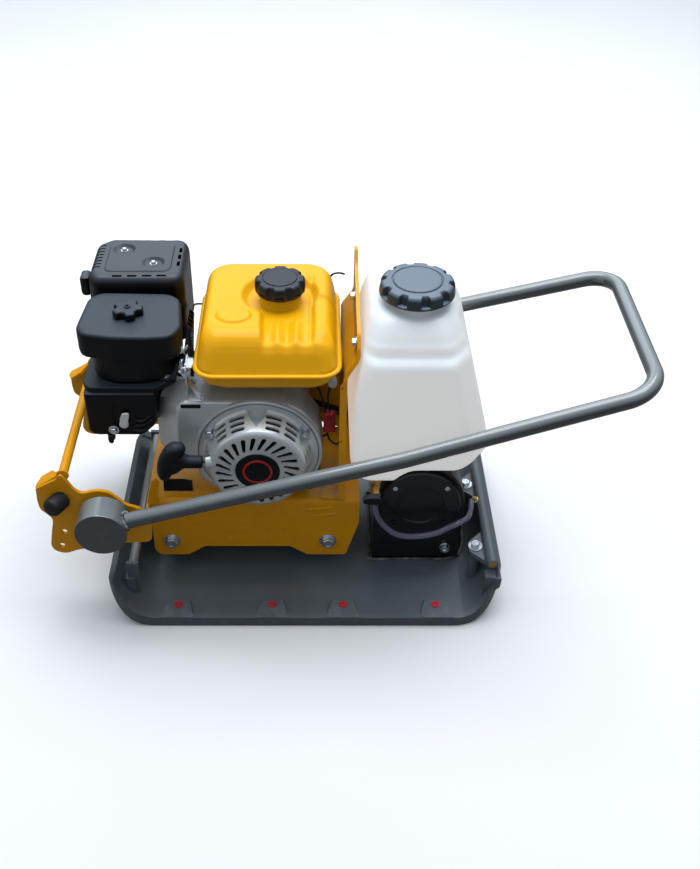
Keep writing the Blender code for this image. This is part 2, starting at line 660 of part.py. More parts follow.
def water_tank():
    neck = WATER_CAP[:2]
    # (x0, x1, y0, y1, z, corner radius)
    outside = [
        (84, 266, -112, 108, 218, 14), (78, 280, -120, 114, 226, 20),
        (72, 290, -122, 116, 262, 24), (74, 276, -122, 116, 330, 26),
        (82, 249, -121, 112, 436, 28), (86, 240, -110, 108, 456, 30),
        (92, 229, -84, 98, 490, 34), (102, 218, -66, 84, 500, 32)]
    hollow = [
        (90, 260, -108, 104, 224, 12), (82, 276, -116, 110, 262, 20),
        (84, 266, -116, 110, 330, 22), (92, 239, -112, 104, 436, 24),
        (98, 220, -82, 92, 486, 28)]
    # slopes the underside up towards the front
    undercut = [(136, 200), (164, 246), (295, 246), (310, 200)]
    piece("water_tank", "white_plastic",
          [rounded_loft(outside), cylinder("z", neck, 40, 490, 512, 24)],
          cut=[rounded_loft(hollow), prism("y", undercut, -140, 140),
               cylinder("z", neck, 36, 480, 520, 24)])
    piece("water_cap", "cap_plastic",
          [prism("z", lobed(neck, (57.5, 57.5, 57.5, 51.5), 10), 513, 534),
           cylinder("z", neck, 40, 533, 536, 24)],
          cut=[cylinder("z", neck, 41, 500, 528, 24)], pivot=WATER_CAP)


def tank_bracket():
    """Cranked sheet behind the water tank."""
    low_y, high_y = -99, 113
    section = [(55.5, 164.4), (55.5, 410), (75.5, 440), (75.5, 520),
               (81, 520), (81, 438), (61, 408), (61, 164.4)]            # (X, Z)
    face = [(low_y, 160), (low_y, 400), (-84, 452), (-70, 470), (84, 500),
            (102, 518), (high_y, 500), (high_y, 160)]                   # (Y, Z)
    piece("tank_bracket", "yellow_paint", [prism("y", section, low_y, high_y)],
          common=[prism("x", face, 50, 90)])


# ---- tap, hose and spray bar ---------------------------------------------------------------------------
def sprinkler():
    tap = tap_x, tap_z = (111, 198)
    spout_y = -124
    piece("water_tap", "brass",
          [cylinder("z", (tap_x, -106), 8, 186, 217.5, 12),
           cylinder("y", tap, 7, -128, -104, 12),
           cylinder("z", (tap_x, spout_y), 4.5, 176, 202, 10)])
    lever = [(115, 203), (106, 205), (89, 199), (88, 191), (104, 191), (115, 194)]
    piece("tap_lever", "black_plastic",
          [revolve("y", tap, [(0, -138), (6, -138), (6, -130.6), (0, -130.6)], 12),
           prism("y", lever, -141, -137)],
          pivot=(tap_x, -130.3, tap_z))
    # (X, Y, Z) from the tap to the spray bar
    hose = [
        (tap_x, spout_y, 175.6), (111, -125, 165), (117.6, -125, 144), (131.6, -125, 123.4),
        (148.7, -125, 109.6), (172.3, -125, 104.9), (195.4, -125, 107.3), (217, -122, 111.3),
        (238, -114, 117), (256, -104, 118), (270, -88, 113), (277.5, -66, 105),
        (280.5, -48, 99), (280, -36, 95), (279.5, -29, 93)]
    piece("water_hose", "clear_hose", [tube(hose, 4.6, 8)])
    bar = bar_x, bar_z = (303, 92)
    inlet = (-23, bar_z)                        # (Y, Z)
    foot = [(270, SPRAY_LUG_TOP), (bar_x, SPRAY_LUG_TOP), (bar_x, 88), (270, 84)]
    piece("spray_bar", "anthracite_paint",
          [cylinder("y", bar, 9.5, -178, 160, 12)]
          + [prism("y", foot, y - 16, y + 16) for y in SPRAY_LUG_YS],
          cut=[cylinder("z", (281, y), 5.4, 60, 100, 10) for y in SPRAY_LUG_YS]
          + [cylinder("x", inlet, 4.3, 280, 300, 10)])
    barb = [(0, 298.5), (3.9, 298.5), (3.9, 293), (6, 292.9), (6, 286.2), (3, 286.2), (0, 286.2)]
    piece("hose_barb", "brass", [revolve("x", inlet, barb, 10)])


# ---- build -----------------------------------------------------------------------------------------------
for old in list(bpy.data.objects):
    bpy.data.objects.remove(old, do_unlink=True)
for material_name, look in MATERIALS.items():
    make_material(material_name, *look)

base_plate()
exciter()
pulley("exciter_pulley", EXCITER, EXCITER_PULLEY_R, 128, 150, EXCITER_SHAFT_R + FIT)
drive_belt()
belt_guard()
rubber_mounts()
engine_bed()
handle_brackets()
handle_frame()
crankcase()
crankshaft()
pulley("clutch_pulley", CRANK, CLUTCH_PULLEY_R, 124, 154, CRANK_R + FIT)
flywheel_fan()
fan_cover()
recoil_starter()
cylinder_head()
air_filter()
carburettor()
throttle()
muffler()
fuel_tank()
water_tank()
tank_bracket()
sprinkler()
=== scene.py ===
# Plate compactor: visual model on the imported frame.
# Shapes are in millimetres: +x is the front of the machine, -x the handle end,
# -y the near side (recoil starter), +y the far side (belt drive), z = 0 the sole of the plate.
import bpy
import bmesh
import math
import random
from mathutils import Vector, Matrix, noise


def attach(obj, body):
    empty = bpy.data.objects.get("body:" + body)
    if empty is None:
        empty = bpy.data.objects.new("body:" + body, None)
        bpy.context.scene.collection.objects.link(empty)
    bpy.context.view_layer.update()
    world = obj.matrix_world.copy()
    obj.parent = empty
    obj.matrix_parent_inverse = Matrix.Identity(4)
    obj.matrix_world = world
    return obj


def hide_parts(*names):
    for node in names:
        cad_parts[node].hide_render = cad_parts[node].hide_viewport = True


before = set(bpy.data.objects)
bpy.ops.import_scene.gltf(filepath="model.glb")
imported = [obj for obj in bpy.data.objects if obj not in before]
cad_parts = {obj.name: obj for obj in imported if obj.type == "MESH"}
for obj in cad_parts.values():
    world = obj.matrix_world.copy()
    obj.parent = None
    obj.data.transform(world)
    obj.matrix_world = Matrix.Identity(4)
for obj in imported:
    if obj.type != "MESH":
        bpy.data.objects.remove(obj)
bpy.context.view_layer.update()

MM = 0.001
SCENE = bpy.context.scene
COLLECTION = SCENE.collection
NEAR, FAR, REAR, UP = (0, -1, 0), (0, 1, 0), (-1, 0, 0), (0, 0, 1)
SIDES = ((-1, "near"), (1, "far"))

# Axes shared by several sections. Pairs are (x, z) for axes along y and (x, y) for upright ones.
EXCITER_X, EXCITER_Z = EXCITER = (187.0, 147.0)
CRANK_X, CRANK_Z = CRANK = (-76.6, 270.0)
PIVOT_X, PIVOT_Z = PIVOT = (-320.5, 192.0)
CROSS_BAR = (-379.5, 264)
FUEL_FILLER = (-41.5, 30.0)
WATER_FILLER = (166.0, -18.0)
FILTER_KNOB = (-271, -27)
MOUNT_X, MOUNT_Z = (-230.5, 34.5), 72
SPRAY_BAR = (303, 92)
SPRAY_LUG_X, SPRAY_LUG_Y = 281, (-128, 27)
TAP_X, TAP_Z = TAP = (111, 198)
BELT_Y = 140.0


# =============================================================================
# shapes: every solid is (vertices, faces) of a closed body
# =============================================================================
def point(axis, a, b, t):
    """Point at height t along an axis, with a and b as its other two coordinates in order."""
    return {"x": (t, a, b), "y": (a, t, b), "z": (a, b, t)}[axis]


def polar(center, r, angle):
    return center[0] + r * math.cos(angle), center[1] + r * math.sin(angle)


def span(side, a, b):
    """The stretch a..b on one side of the centre plane, in rising order."""
    return sorted((side * a, side * b))


def sided(profile, side):
    return [(r, side * t) for r, t in profile]


def level(axis, outline, t):
    return [point(axis, a, b, t) for a, b in outline]


def box(x0, x1, y0, y1, z0, z1):
    verts = [(x, y, z) for x in (x0, x1) for y in (y0, y1) for z in (z0, z1)]
    return verts, [(0, 1, 3, 2), (4, 6, 7, 5), (0, 4, 5, 1), (2, 3, 7, 6), (0, 2, 6, 4), (1, 5, 7, 3)]


def loft(rings, closed=False):
    n, m = len(rings[0]), len(rings)
    verts = [p for ring in rings for p in ring]
    faces = []
    for i in range(m if closed else m - 1):
        j = (i + 1) % m
        for k in range(n):
            l = (k + 1) % n
            faces.append((i * n + k, i * n + l, j * n + l, j * n + k))
    if not closed:
        faces.append(tuple(range(n)))
        faces.append(tuple((m - 1) * n + k for k in range(n)))
    return verts, faces


def stack(axis, sections):
    """Loft through (outline, level) pairs."""
    return loft([level(axis, outline, t) for outline, t in sections])


def prism(axis, outline, lo, hi):
    return stack(axis, ((outline, lo), (outline, hi)))


def lathe(axis, center, profile, n):
    """Turned body; profile holds (radius, place along the axis), closed if it misses the axis."""
    verts, faces, start = [], [], []
    for r, t in profile:
        start.append(len(verts))
        if r < 1e-6:
            verts.append(point(axis, center[0], center[1], t))
        else:
            verts += [point(axis, *polar(center, r, 2 * math.pi * k / n), t) for k in range(n)]
    m = len(profile)
    hollow = all(r > 1e-6 for r, t in profile)
    for i in range(m if hollow else m - 1):
        j = (i + 1) % m
        tip_i, tip_j = profile[i][0] < 1e-6, profile[j][0] < 1e-6
        for k in range(n):
            l = (k + 1) % n
            if tip_i and not tip_j:
                faces.append((start[i], start[j] + l, start[j] + k))
            elif tip_j and not tip_i:
                faces.append((start[i] + k, start[i] + l, start[j]))
            elif not tip_i and not tip_j:
                faces.append((start[i] + k, start[i] + l, start[j] + l, start[j] + k))
    return verts, faces


def disc(axis, center, r, lo, hi, n):
    """Plain turned disc, its ends fanned from the centre."""
    return lathe(axis, center, [(0, lo), (r, lo), (r, hi), (0, hi)], n)


def circle(center, r, n, start=0.0):
    return [polar(center, r, start + 2 * math.pi * k / n) for k in range(n)]


def ellipse(center, ra, rb, n):
    angles = [2 * math.pi * k / n for k in range(n)]
    return [(center[0] + ra * math.cos(w), center[1] + rb * math.sin(w)) for w in angles]


def cylinder(axis, center, r, lo, hi, n):
    """Straight cylinder with one flat face at each end."""
    return prism(axis, circle(center, r, n), lo, hi)


def round_rect(x0, x1, y0, y1, r, n=8):
    r = max(0.4, min(r, (x1 - x0) / 2 - 0.01, (y1 - y0) / 2 - 0.01))
    corners = ((x1 - r, y1 - r, 0), (x0 + r, y1 - r, 90), (x0 + r, y0 + r, 180), (x1 - r, y0 + r, 270))
    return [polar((cx, cy), r, math.radians(a + 90.0 * k / n))
            for cx, cy, a in corners for k in range(n + 1)]


def round_box(x0, x1, y0, y1, levels, r, n=8):
    """Upright rounded block; levels holds (z, inset)."""
    return stack("z", [(round_rect(x0 + i, x1 - i, y0 + i, y1 - i, r - i * 0.6, n), z)
                       for z, i in levels])


def oblong(axis, c0, c1, r, lo, hi, n=10):
    """Round-ended bar or slot between two centres."""
    a = math.atan2(c1[1] - c0[1], c1[0] - c0[0])
    pts = [polar(c1, r, a - math.pi / 2 + math.pi * k / n) for k in range(n + 1)]
    pts += [polar(c0, r, a + math.pi / 2 + math.pi * k / n) for k in range(n + 1)]
    return prism(axis, pts, lo, hi)


def round_corners(pts, radii, n=6):
    """Polygon with rounded corners; radii is one radius or one per corner."""
    out = []
    for i in range(len(pts)):
        corner = Vector((pts[i][0], pts[i][1]))
        before = Vector((pts[i - 1][0], pts[i - 1][1]))
        after = pts[(i + 1) % len(pts)]
        after = Vector((after[0], after[1]))
        r = radii[i] if isinstance(radii, (list, tuple)) else radii
        u, v = (before - corner), (after - corner)
        len_u, len_v = u.length, v.length
        u, v = u / len_u, v / len_v
        angle = math.acos(max(-1, min(1, u.dot(v))))
        if r <= 0 or angle > math.pi - 0.02 or angle < 0.02:
            out.append((corner.x, corner.y))
            continue
        d = min(r / math.tan(angle / 2), len_u * 0.49, len_v * 0.49)
        r = d * math.tan(angle / 2)
        center = corner + (u + v).normalized() * (r / math.sin(angle / 2))
        first, last = corner + u * d - center, corner + v * d - center
        a0, a1 = math.atan2(first.y, first.x), math.atan2(last.y, last.x)
        sweep_angle = (a1 - a0 + math.pi) % (2 * math.pi) - math.pi
        out += [polar(center, r, a0 + sweep_angle * k / n) for k in range(n + 1)]
    return out


def inset(pts, d):
    """Near-convex polygon moved inwards by d."""
    area = sum(pts[i - 1][0] * pts[i][1] - pts[i][0] * pts[i - 1][1] for i in range(len(pts)))
    sign = 1 if area > 0 else -1
    out = []
    for i in range(len(pts)):
        p, before, after = Vector(pts[i]), Vector(pts[i - 1]), Vector(pts[(i + 1) % len(pts)])
        u, v = (p - before).normalized(), (after - p).normalized()
        n1, n2 = Vector((-u.y, u.x)) * sign, Vector((-v.y, v.x)) * sign
        q = n1 + n2
        if q.length < 1e-6:
            q = n1
        q = q.normalized()
        k = 1.0 / max(0.5, q.dot(n1))
        out.append((p.x + q.x * d * k, p.y + q.y * d * k))
    return out


def insets(axis, outline, stations):
    """Rings of one outline; stations holds (inset, level)."""
    return [level(axis, inset(outline, d), t) for d, t in stations]


def spline(points, n, closed=False):
    """Catmull-Rom curve through the points, n steps to a span."""
    P = [Vector(p) for p in points]
    m = len(P)
    out = []
    for i in range(m if closed else m - 1):
        if closed:
            a, b, c, d = P[i - 1], P[i], P[(i + 1) % m], P[(i + 2) % m]
        else:
            a, b, c, d = P[max(i - 1, 0)], P[i], P[i + 1], P[min(i + 2, m - 1)]
        for k in range(n):
            t = k / n
            out.append(0.5 * ((2 * b) + (c - a) * t + (2 * a - 5 * b + 4 * c - d) * t * t
                              + (3 * b - a - 3 * c + d) * t ** 3))
    if not closed:
        out.append(P[-1])
    return out


def flat_curve(pts):
    return [(p[0], p[1]) for p in spline(pts, 5)]


def fillet(points, radii, n):
    """Path with its inner corners rounded."""
    P = [Vector(p) for p in points]
    out = []
    for i, (p, r) in enumerate(zip(P, radii)):
        if r <= 0 or i in (0, len(P) - 1):
            out.append(p)
            continue
        u = (P[i - 1] - p).normalized()
        v = (P[i + 1] - p).normalized()
        angle = u.angle(v)
        d = r / math.tan(angle / 2)
        center = p + (u + v).normalized() * (r / math.sin(angle / 2))
        a, b = p + u * d - center, p + v * d - center
        total = a.angle(b)
        for k in range(n + 1):
            t = k / n
            blend = a * math.sin((1 - t) * total) + b * math.sin(t * total)
            out.append(center + blend / math.sin(total))
    return out


def tangent(P, i, closed=False):
    if not closed and i == 0:
        return (P[1] - P[0]).normalized()
    if not closed and i == len(P) - 1:
        return (P[-1] - P[-2]).normalized()
    return ((P[(i + 1) % len(P)] - P[i]).normalized() + (P[i] - P[i - 1]).normalized()).normalized()


def first_normal(P):
    t = (P[1] - P[0]).normalized()
    up = Vector((0, 0, 1)) if abs(t.z) < 0.9 else Vector((1, 0, 0))
    return (up - t * up.dot(t)).normalized()


def ring_about(center, normal, binormal, r, n):
    angles = [2 * math.pi * k / n for k in range(n)]
    return [tuple(center + normal * (r * math.cos(w)) + binormal * (r * math.sin(w)))
            for w in angles]


def tube(path, radius, n, closed=False, round_end=0.0):
    """Round bar along a path; radius may be a list, one per point."""
    P = [Vector(p) for p in path]
    rings = []
    normal = first_normal(P)
    for i, p in enumerate(P):
        t = tangent(P, i, closed)
        normal = (normal - t * normal.dot(t)).normalized()
        b = t.cross(normal)
        r = radius[i] if isinstance(radius, (list, tuple)) else radius
        if round_end and not closed and i == 0:
            for g in (0.15, 0.5, 0.8):
                end = p - t * round_end * math.sqrt(1 - g * g)
                rings.append(ring_about(end, normal, b, r * g, n))
        rings.append(ring_about(p, normal, b, r, n))
        if round_end and not closed and i == len(P) - 1:
            for g in (0.8, 0.5, 0.15):
                end = p + t * round_end * math.sqrt(1 - g * g)
                rings.append(ring_about(end, normal, b, r * g, n))
    return loft(rings, closed=closed)


def pipe(path, outer, inner, n=28):
    """Tube wall as one closed skin: out along the outside, back along the bore."""
    P = [Vector(p) for p in path]
    outside, bore = [], []
    normal = first_normal(P)
    for i, p in enumerate(P):
        t = (P[min(i + 1, len(P) - 1)] - P[max(i - 1, 0)]).normalized()
        normal = (normal - t * normal.dot(t)).normalized()
        b = t.cross(normal)
        outside.append(ring_about(p, normal, b, outer, n))
        bore.append(ring_about(p, normal, b, inner, n))
    return loft(outside + list(reversed(bore)), closed=True)


def sweep(path, profile, up):
    """Flat profile (side, up) along an open path."""
    P = [Vector(p) for p in path]
    rings = []
    for i, p in enumerate(P):
        t = tangent(P, i)
        side = t.cross(Vector(up)).normalized()
        above = side.cross(t).normalized()
        rings.append([tuple(p + side * a + above * b) for a, b in profile])
    return loft(rings)


def flat_loop_sweep(path, profile):
    """Profile (side, z) around a closed level path."""
    rings = []
    for i in range(len(path)):
        p = Vector(path[i])
        t = (Vector(path[(i + 1) % len(path)]) - Vector(path[i - 1])).normalized()
        side = t.cross(Vector(UP)).normalized()
        rings.append([tuple(p + side * a + Vector(UP) * b) for a, b in profile])
    return loft(rings, closed=True)


def join(*shapes):
    verts, faces = [], []
    for shape in shapes:
        offset = len(verts)
        verts += list(shape[0])
        faces += [tuple(i + offset for i in face) for face in shape[1]]
    return verts, faces


def rotate(shape, center, axis, degrees):
    c = Vector(center)
    m = (Matrix.Translation(c) @ Matrix.Rotation(math.radians(degrees), 4, Vector(axis))
         @ Matrix.Translation(-c))
    return [tuple(m @ Vector(p)) for p in shape[0]], shape[1]


def place(shape, origin, turn):
    return [tuple(Vector(origin) + turn @ Vector(p)) for p in shape[0]], shape[1]


def hex_bolt(seat, direction, radius, height, washer, thick, spring=False, start=0.3):
    """Hexagon head on a washer (radius, thickness), seated at a point and standing along
    a direction; spring adds a second washer."""
    z = Vector(direction).normalized()
    x = z.orthogonal().normalized()
    turn = Matrix((x, z.cross(x), z)).transposed()
    parts = [lathe("z", (0, 0), [(0, 0), (washer - 0.3, 0), (washer, 0.3), (washer, thick - 0.3),
                                 (washer - 0.3, thick), (0, thick)], 36)]
    base = thick
    if spring:
        parts.append(disc("z", (0, 0), washer * 0.8, base, base + 1.8, 30))
        base += 1.8
    rings = []
    for t, k in ((base, 1.0), (base + height - 1.0, 1.0), (base + height, 0.90),
                 (base + height + 0.02, 0.55), (base + height - 0.5, 0.50)):
        ring = []
        for j in range(36):
            w = start + 2 * math.pi * j / 36
            off_flat = (w - start) % (math.pi / 3) - math.pi / 6
            r = radius * math.cos(math.pi / 6) / math.cos(off_flat)
            if k != 1.0:
                r = min(r, radius * 0.97) * k if k > 0.8 else radius * 0.87 * k
            ring.append((r * math.cos(w), r * math.sin(w), t))
        rings.append(ring)
    parts.append(loft(rings))
    return join(*[place(part, seat, turn) for part in parts])


def hex_bolts(seats, direction, radius, height, washer, thick):
    return [hex_bolt(seat, direction, radius, height, washer, thick) for seat in seats]


def socket_screw(center, y, side=-1, r=4.4, height=4.2, key=2.3):
    """Socket-head screw on a face at y; key is the half width of the hexagon socket."""
    hexagon = []
    for k in range(24):
        w = 2 * math.pi * k / 24
        hexagon.append(polar(center, key / math.cos((w % (math.pi / 3)) - math.pi / 6), w))
    rim = circle(center, r, 24)
    top = y + side * height
    return stack("y", ((rim, y), (rim, y + side * (height - 0.5)), (circle(center, r - 0.5, 24), top),
                       (hexagon, top), (hexagon, y + side * (height - 2.4))))


def ease(a, b, x):
    """Smooth step from 0 at a to 1 at b."""
    t = max(0.0, min(1.0, (x - a) / (b - a)))
    return t * t * (3 - 2 * t)


def scalloped(center, stations, count, low, high, phase=0.0):
    """Upright body with notches round its edge; stations holds (radius, notch depth, z)."""
    rings = []
    for r, dip, z in stations:
        ring = []
        for i in range(240):
            w = 2 * math.pi * i / 240
            u = ((w - phase) * count / (2 * math.pi)) % 1.0
            d = dip * (1 - ease(low, high, abs(u - 0.5) * 2))
            ring.append((*polar(center, r - d, w), z))
        rings.append(ring)
    return loft(rings)


# =============================================================================
# materials
# =============================================================================
SLOTS = {}  # material name -> frame slot named for it; piece() looks it up but does not give it to the pieces


def rgba_socket(sockets, name=None):
    return [s for s in sockets if s.type == "RGBA" and name in (None, s.name)][0]


def surface(name, slot, color, rough=0.4, metal=0.0, coat=0.0, coat_rough=0.08, specular=0.5,
            ior=1.45, transmission=0.0, subsurface=0.0, vary=0.08, vary_scale=14.0,
            rough_vary=0.10, bump=0.05, bump_scale=900.0, grain=0.0, orange_peel=0.0,
            stretch=(1, 1, 1), wear_and_edge_highlight=None, dust=None, painted_top_highlight=None, painted_glow=0.0, neutral_bounce=0.0,
            rear_shade=0.0):
    """Painted, moulded or cast surface with uneven colour and roughness and a fine bump.
    wear (chips on convex edges, on the anthracite also a painted edge highlight) and dust (on upward faces)
    are (amount, color), and so is the painted top highlight (upward faces lightened towards a sky colour)."""
    material = bpy.data.materials.new(name)
    SLOTS[material.name] = slot
    material.use_nodes = True
    nodes, links = material.node_tree.nodes, material.node_tree.links
    shader = nodes["Principled BSDF"]
    coords = nodes.new("ShaderNodeTexCoord")
    mapping = nodes.new("ShaderNodeMapping")
    mapping.inputs["Scale"].default_value = stretch
    links.new(coords.outputs["Object"], mapping.inputs["Vector"])

    def noise_fac(scale, detail, roughness=0.55):
        n = nodes.new("ShaderNodeTexNoise")
        n.inputs["Scale"].default_value = scale
        n.inputs["Detail"].default_value = detail
        n.inputs["Roughness"].default_value = roughness
        links.new(mapping.outputs["Vector"], n.inputs["Vector"])
        return n.outputs["Fac"]

    def ramp(source, low, high, low_color=(0, 0, 0, 1), high_color=(1, 1, 1, 1)):
        r = nodes.new("ShaderNodeValToRGB")
        first, last = r.color_ramp.elements
        first.position = low
        last.position = high
        first.color = low_color
        last.color = high_color
        links.new(source, r.inputs["Fac"])
        return r.outputs["Color"]

    def mix(factor, *colors):
        m = nodes.new("ShaderNodeMix")
        m.data_type = "RGBA"
        links.new(factor, m.inputs["Factor"])
        for socket_name, c in zip("AB", colors):
            socket = rgba_socket(m.inputs, socket_name)
            if isinstance(c, tuple):
                socket.default_value = (*c, 1)
            else:
                links.new(c, socket)
        return rgba_socket(m.outputs)

    def calc(operation, *values):
        m = nodes.new("ShaderNodeMath")
        m.operation = operation
        for i, value in enumerate(values):
            if isinstance(value, (int, float)):
                m.inputs[i].default_value = value
            else:
                links.new(value, m.inputs[i])
        return m.outputs[0]

    def normal_part(axis):
        geometry = nodes.new("ShaderNodeNewGeometry")
        separate = nodes.new("ShaderNodeSeparateXYZ")
        links.new(geometry.outputs["Normal"], separate.inputs[0])
        return separate.outputs[axis]

    patches = noise_fac(vary_scale, 5.0)
    dark = tuple(c * (1 - vary * 1.6) for c in color)
    light = tuple(min(1.0, c * (1 + vary)) for c in color)
    base = mix(ramp(patches, 0.32, 0.68), dark, light)
    roughness = calc("ADD", calc("MULTIPLY", calc("SUBTRACT", patches, 0.5), rough_vary * 2.0), rough)
    if rear_shade:
        # painted shade: darker on faces that look to the rear, standing in for the shade that falls on them
        rearward = ramp(calc("MULTIPLY", normal_part("X"), -1.0), 0.80, 0.98)
        base = mix(calc("MULTIPLY", rearward, rear_shade), base, (0.16, 0.050, 0.001))
    if neutral_bounce:
        # the paint throws a greyer light on its neighbours than its own colour
        rays = nodes.new("ShaderNodeLightPath")
        fac = calc("MULTIPLY", rays.outputs["Is Diffuse Ray"], neutral_bounce)
        base = mix(fac, base, (0.34, 0.31, 0.27))
    if painted_top_highlight:
        # painted highlight: faces that look up are lightened towards a sky colour, for the sky that lights
        # them and shines in them
        upward = ramp(normal_part("Z"), 0.25, 0.95)
        base = mix(calc("MULTIPLY", upward, painted_top_highlight[0]), base, painted_top_highlight[1])
    if dust:
        upward = ramp(normal_part("Z"), 0.35, 1.0)
        specks = ramp(noise_fac(38.0, 8.0, 0.65), 0.42, 0.72)
        fac = calc("MULTIPLY", calc("MULTIPLY", upward, specks), dust[0])
        base = mix(fac, base, dust[1])
        roughness = calc("ADD", roughness, calc("MULTIPLY", fac, 0.35))
    if wear_and_edge_highlight:
        # wear chips on convex edges; on the anthracite plate the lighter chips also stand in for a painted
        # highlight along the rim edges
        geometry = nodes.new("ShaderNodeNewGeometry")
        edges = ramp(geometry.outputs["Pointiness"], 0.515, 0.56)
        chips = ramp(noise_fac(70.0, 8.0, 0.7), 0.47, 0.60)
        base = mix(calc("MULTIPLY", calc("MULTIPLY", edges, chips), wear_and_edge_highlight[0]), base, wear_and_edge_highlight[1])
    links.new(base, shader.inputs["Base Color"])
    if painted_glow:
        # painted glow: faint emission, strongest on faces that do not look up, standing in for light carried
        # through the translucent plastic
        fac = ramp(normal_part("Z"), 0.0, 0.9, (1, 1, 1, 1), (0.12, 0.12, 0.12, 1))
        links.new(calc("MULTIPLY", fac, painted_glow), shader.inputs["Emission Strength"])
        shader.inputs["Emission Color"].default_value = (1.0, 0.985, 0.955, 1)
    links.new(roughness, shader.inputs["Roughness"])
    settings = {"Metallic": metal, "Specular IOR Level": specular, "IOR": ior}
    if coat:
        settings.update({"Coat Weight": coat, "Coat Roughness": coat_rough})
    if subsurface:
        settings.update({"Subsurface Weight": subsurface, "Subsurface Scale": 0.02,
                         "Subsurface Radius": (1.0, 0.9, 0.8)})
    if transmission:
        settings["Transmission Weight"] = transmission
    for key, value in settings.items():
        shader.inputs[key].default_value = value
    grains = calc("MULTIPLY", noise_fac(bump_scale * 2.2, 2.0), grain) if grain else None
    height = calc("MULTIPLY", noise_fac(bump_scale, 3.0), bump)
    if grains:
        height = calc("ADD", grains, height)
    if orange_peel:
        height = calc("ADD", height, calc("MULTIPLY", noise_fac(220.0, 1.0), orange_peel))
    relief = nodes.new("ShaderNodeBump")
    relief.inputs["Strength"].default_value = 1.0
    relief.inputs["Distance"].default_value = 0.001
    links.new(height, relief.inputs["Height"])
    links.new(relief.outputs["Normal"], shader.inputs["Normal"])
    if coat:
        links.new(relief.outputs["Normal"], shader.inputs["Coat Normal"])
    return material


YELLOW_PAINT = dict(
    slot="yellow_paint", color=(0.88, 0.37, 0.002), neutral_bounce=0.8, rough=0.32, coat=0.10,
    specular=0.25, bump=0.02, bump_scale=1200, vary=0.03, rough_vary=0.05, orange_peel=0.05,
    dust=(0.04, (0.75, 0.50, 0.18)), wear_and_edge_highlight=(0.10, (0.30, 0.20, 0.08)))
YELLOW = surface("m_yellow", **YELLOW_PAINT)
# the yellow with painted shade on faces that look to the rear, for the bracket plate in the shade of the fuel
# tank
YELLOW_SHADED_WEB = surface("m_yellow_web_painted_shade", rear_shade=0.6, **YELLOW_PAINT)
TANK_YELLOW = surface(
    "m_tank", "yellow_paint", (0.94, 0.45, 0.002), neutral_bounce=0.8, rough=0.30, coat=0.06,
    coat_rough=0.10, specular=0.22, bump=0.01, bump_scale=1200, vary=0.02, rough_vary=0.03,
    orange_peel=0.03, dust=(0.02, (0.8, 0.6, 0.25)))
# anthracite paint: its lighter edge chips are partly wear and partly a painted highlight along the plate's
# rim edges
ANTHRACITE = surface(
    "m_anthracite", "anthracite_paint", (0.092, 0.115, 0.130), rough=0.42, coat=0.25,
    coat_rough=0.22, bump=0.10, bump_scale=520, vary_scale=7, rough_vary=0.12,
    orange_peel=0.14, dust=(0.02, (0.125, 0.14, 0.15)), wear_and_edge_highlight=(0.20, (0.26, 0.29, 0.31)))
# the slate, black plastic, guard, cap and water cap paints below lighten their upward faces towards a sky
# colour, a painted highlight; on the slate it is the highlight along the handle tube and drums
SLATE = surface(
    "m_slate", "slate_paint", (0.044, 0.054, 0.058), rough=0.22, coat=1.0, coat_rough=0.10,
    bump=0.005, vary=0.03, rough_vary=0.02, orange_peel=0.02,
    wear_and_edge_highlight=(0.05, (0.3, 0.32, 0.33)), painted_top_highlight=(0.70, (0.30, 0.34, 0.35)))
BLACK_METAL = surface(
    "m_black_metal", "black_metal", (0.0035, 0.0060, 0.0085), rough=0.25, specular=0.40,
    coat=0.35, coat_rough=0.12, bump=0.03, bump_scale=700, vary=0.12, rough_vary=0.08,
    orange_peel=0.08, dust=(0.03, (0.08, 0.085, 0.09)))
BLACK = surface(
    "m_black_plastic", "black_plastic", (0.0030, 0.0042, 0.0055), rough=0.40, specular=0.28,
    bump=0.12, bump_scale=1500, grain=0.10, vary=0.10, rough_vary=0.08,
    dust=(0.04, (0.07, 0.075, 0.085)), painted_top_highlight=(0.75, (0.052, 0.069, 0.088)))
GUARD_BLACK = surface(
    "m_guard_black", "black_metal", (0.0034, 0.0040, 0.0052), rough=0.34, specular=0.32,
    coat=0.08, bump=0.08, bump_scale=1000, grain=0.06, vary=0.10, rough_vary=0.08,
    dust=(0.05, (0.075, 0.08, 0.088)), painted_top_highlight=(0.75, (0.062, 0.076, 0.092)))
CAP_GREY = surface(
    "m_cap_grey", "cap_plastic", (0.012, 0.016, 0.021), rough=0.40, specular=0.35, bump=0.10,
    bump_scale=1500, grain=0.10, rough_vary=0.08, dust=(0.03, (0.12, 0.13, 0.14)),
    painted_top_highlight=(0.55, (0.045, 0.058, 0.075)))
WATER_CAP_GREY = surface(
    "m_water_cap_grey", "cap_plastic", (0.040, 0.052, 0.066), rough=0.38, bump=0.08,
    bump_scale=1500, grain=0.08, vary=0.06, rough_vary=0.08, dust=(0.03, (0.12, 0.13, 0.14)),
    painted_top_highlight=(0.75, (0.17, 0.22, 0.29)))
RUBBER = surface(
    "m_rubber", "rubber", (0.008, 0.009, 0.011), rough=0.55, bump=0.10, vary=0.15,
    rough_vary=0.12, dust=(0.15, (0.06, 0.06, 0.06)))
SILVER = surface(
    "m_silver", "silver_paint", (0.62, 0.66, 0.67), rough=0.34, metal=0.45, coat=0.35,
    bump=0.06, bump_scale=1100, grain=0.04, vary=0.05, rough_vary=0.08,
    dust=(0.04, (0.3, 0.3, 0.29)))
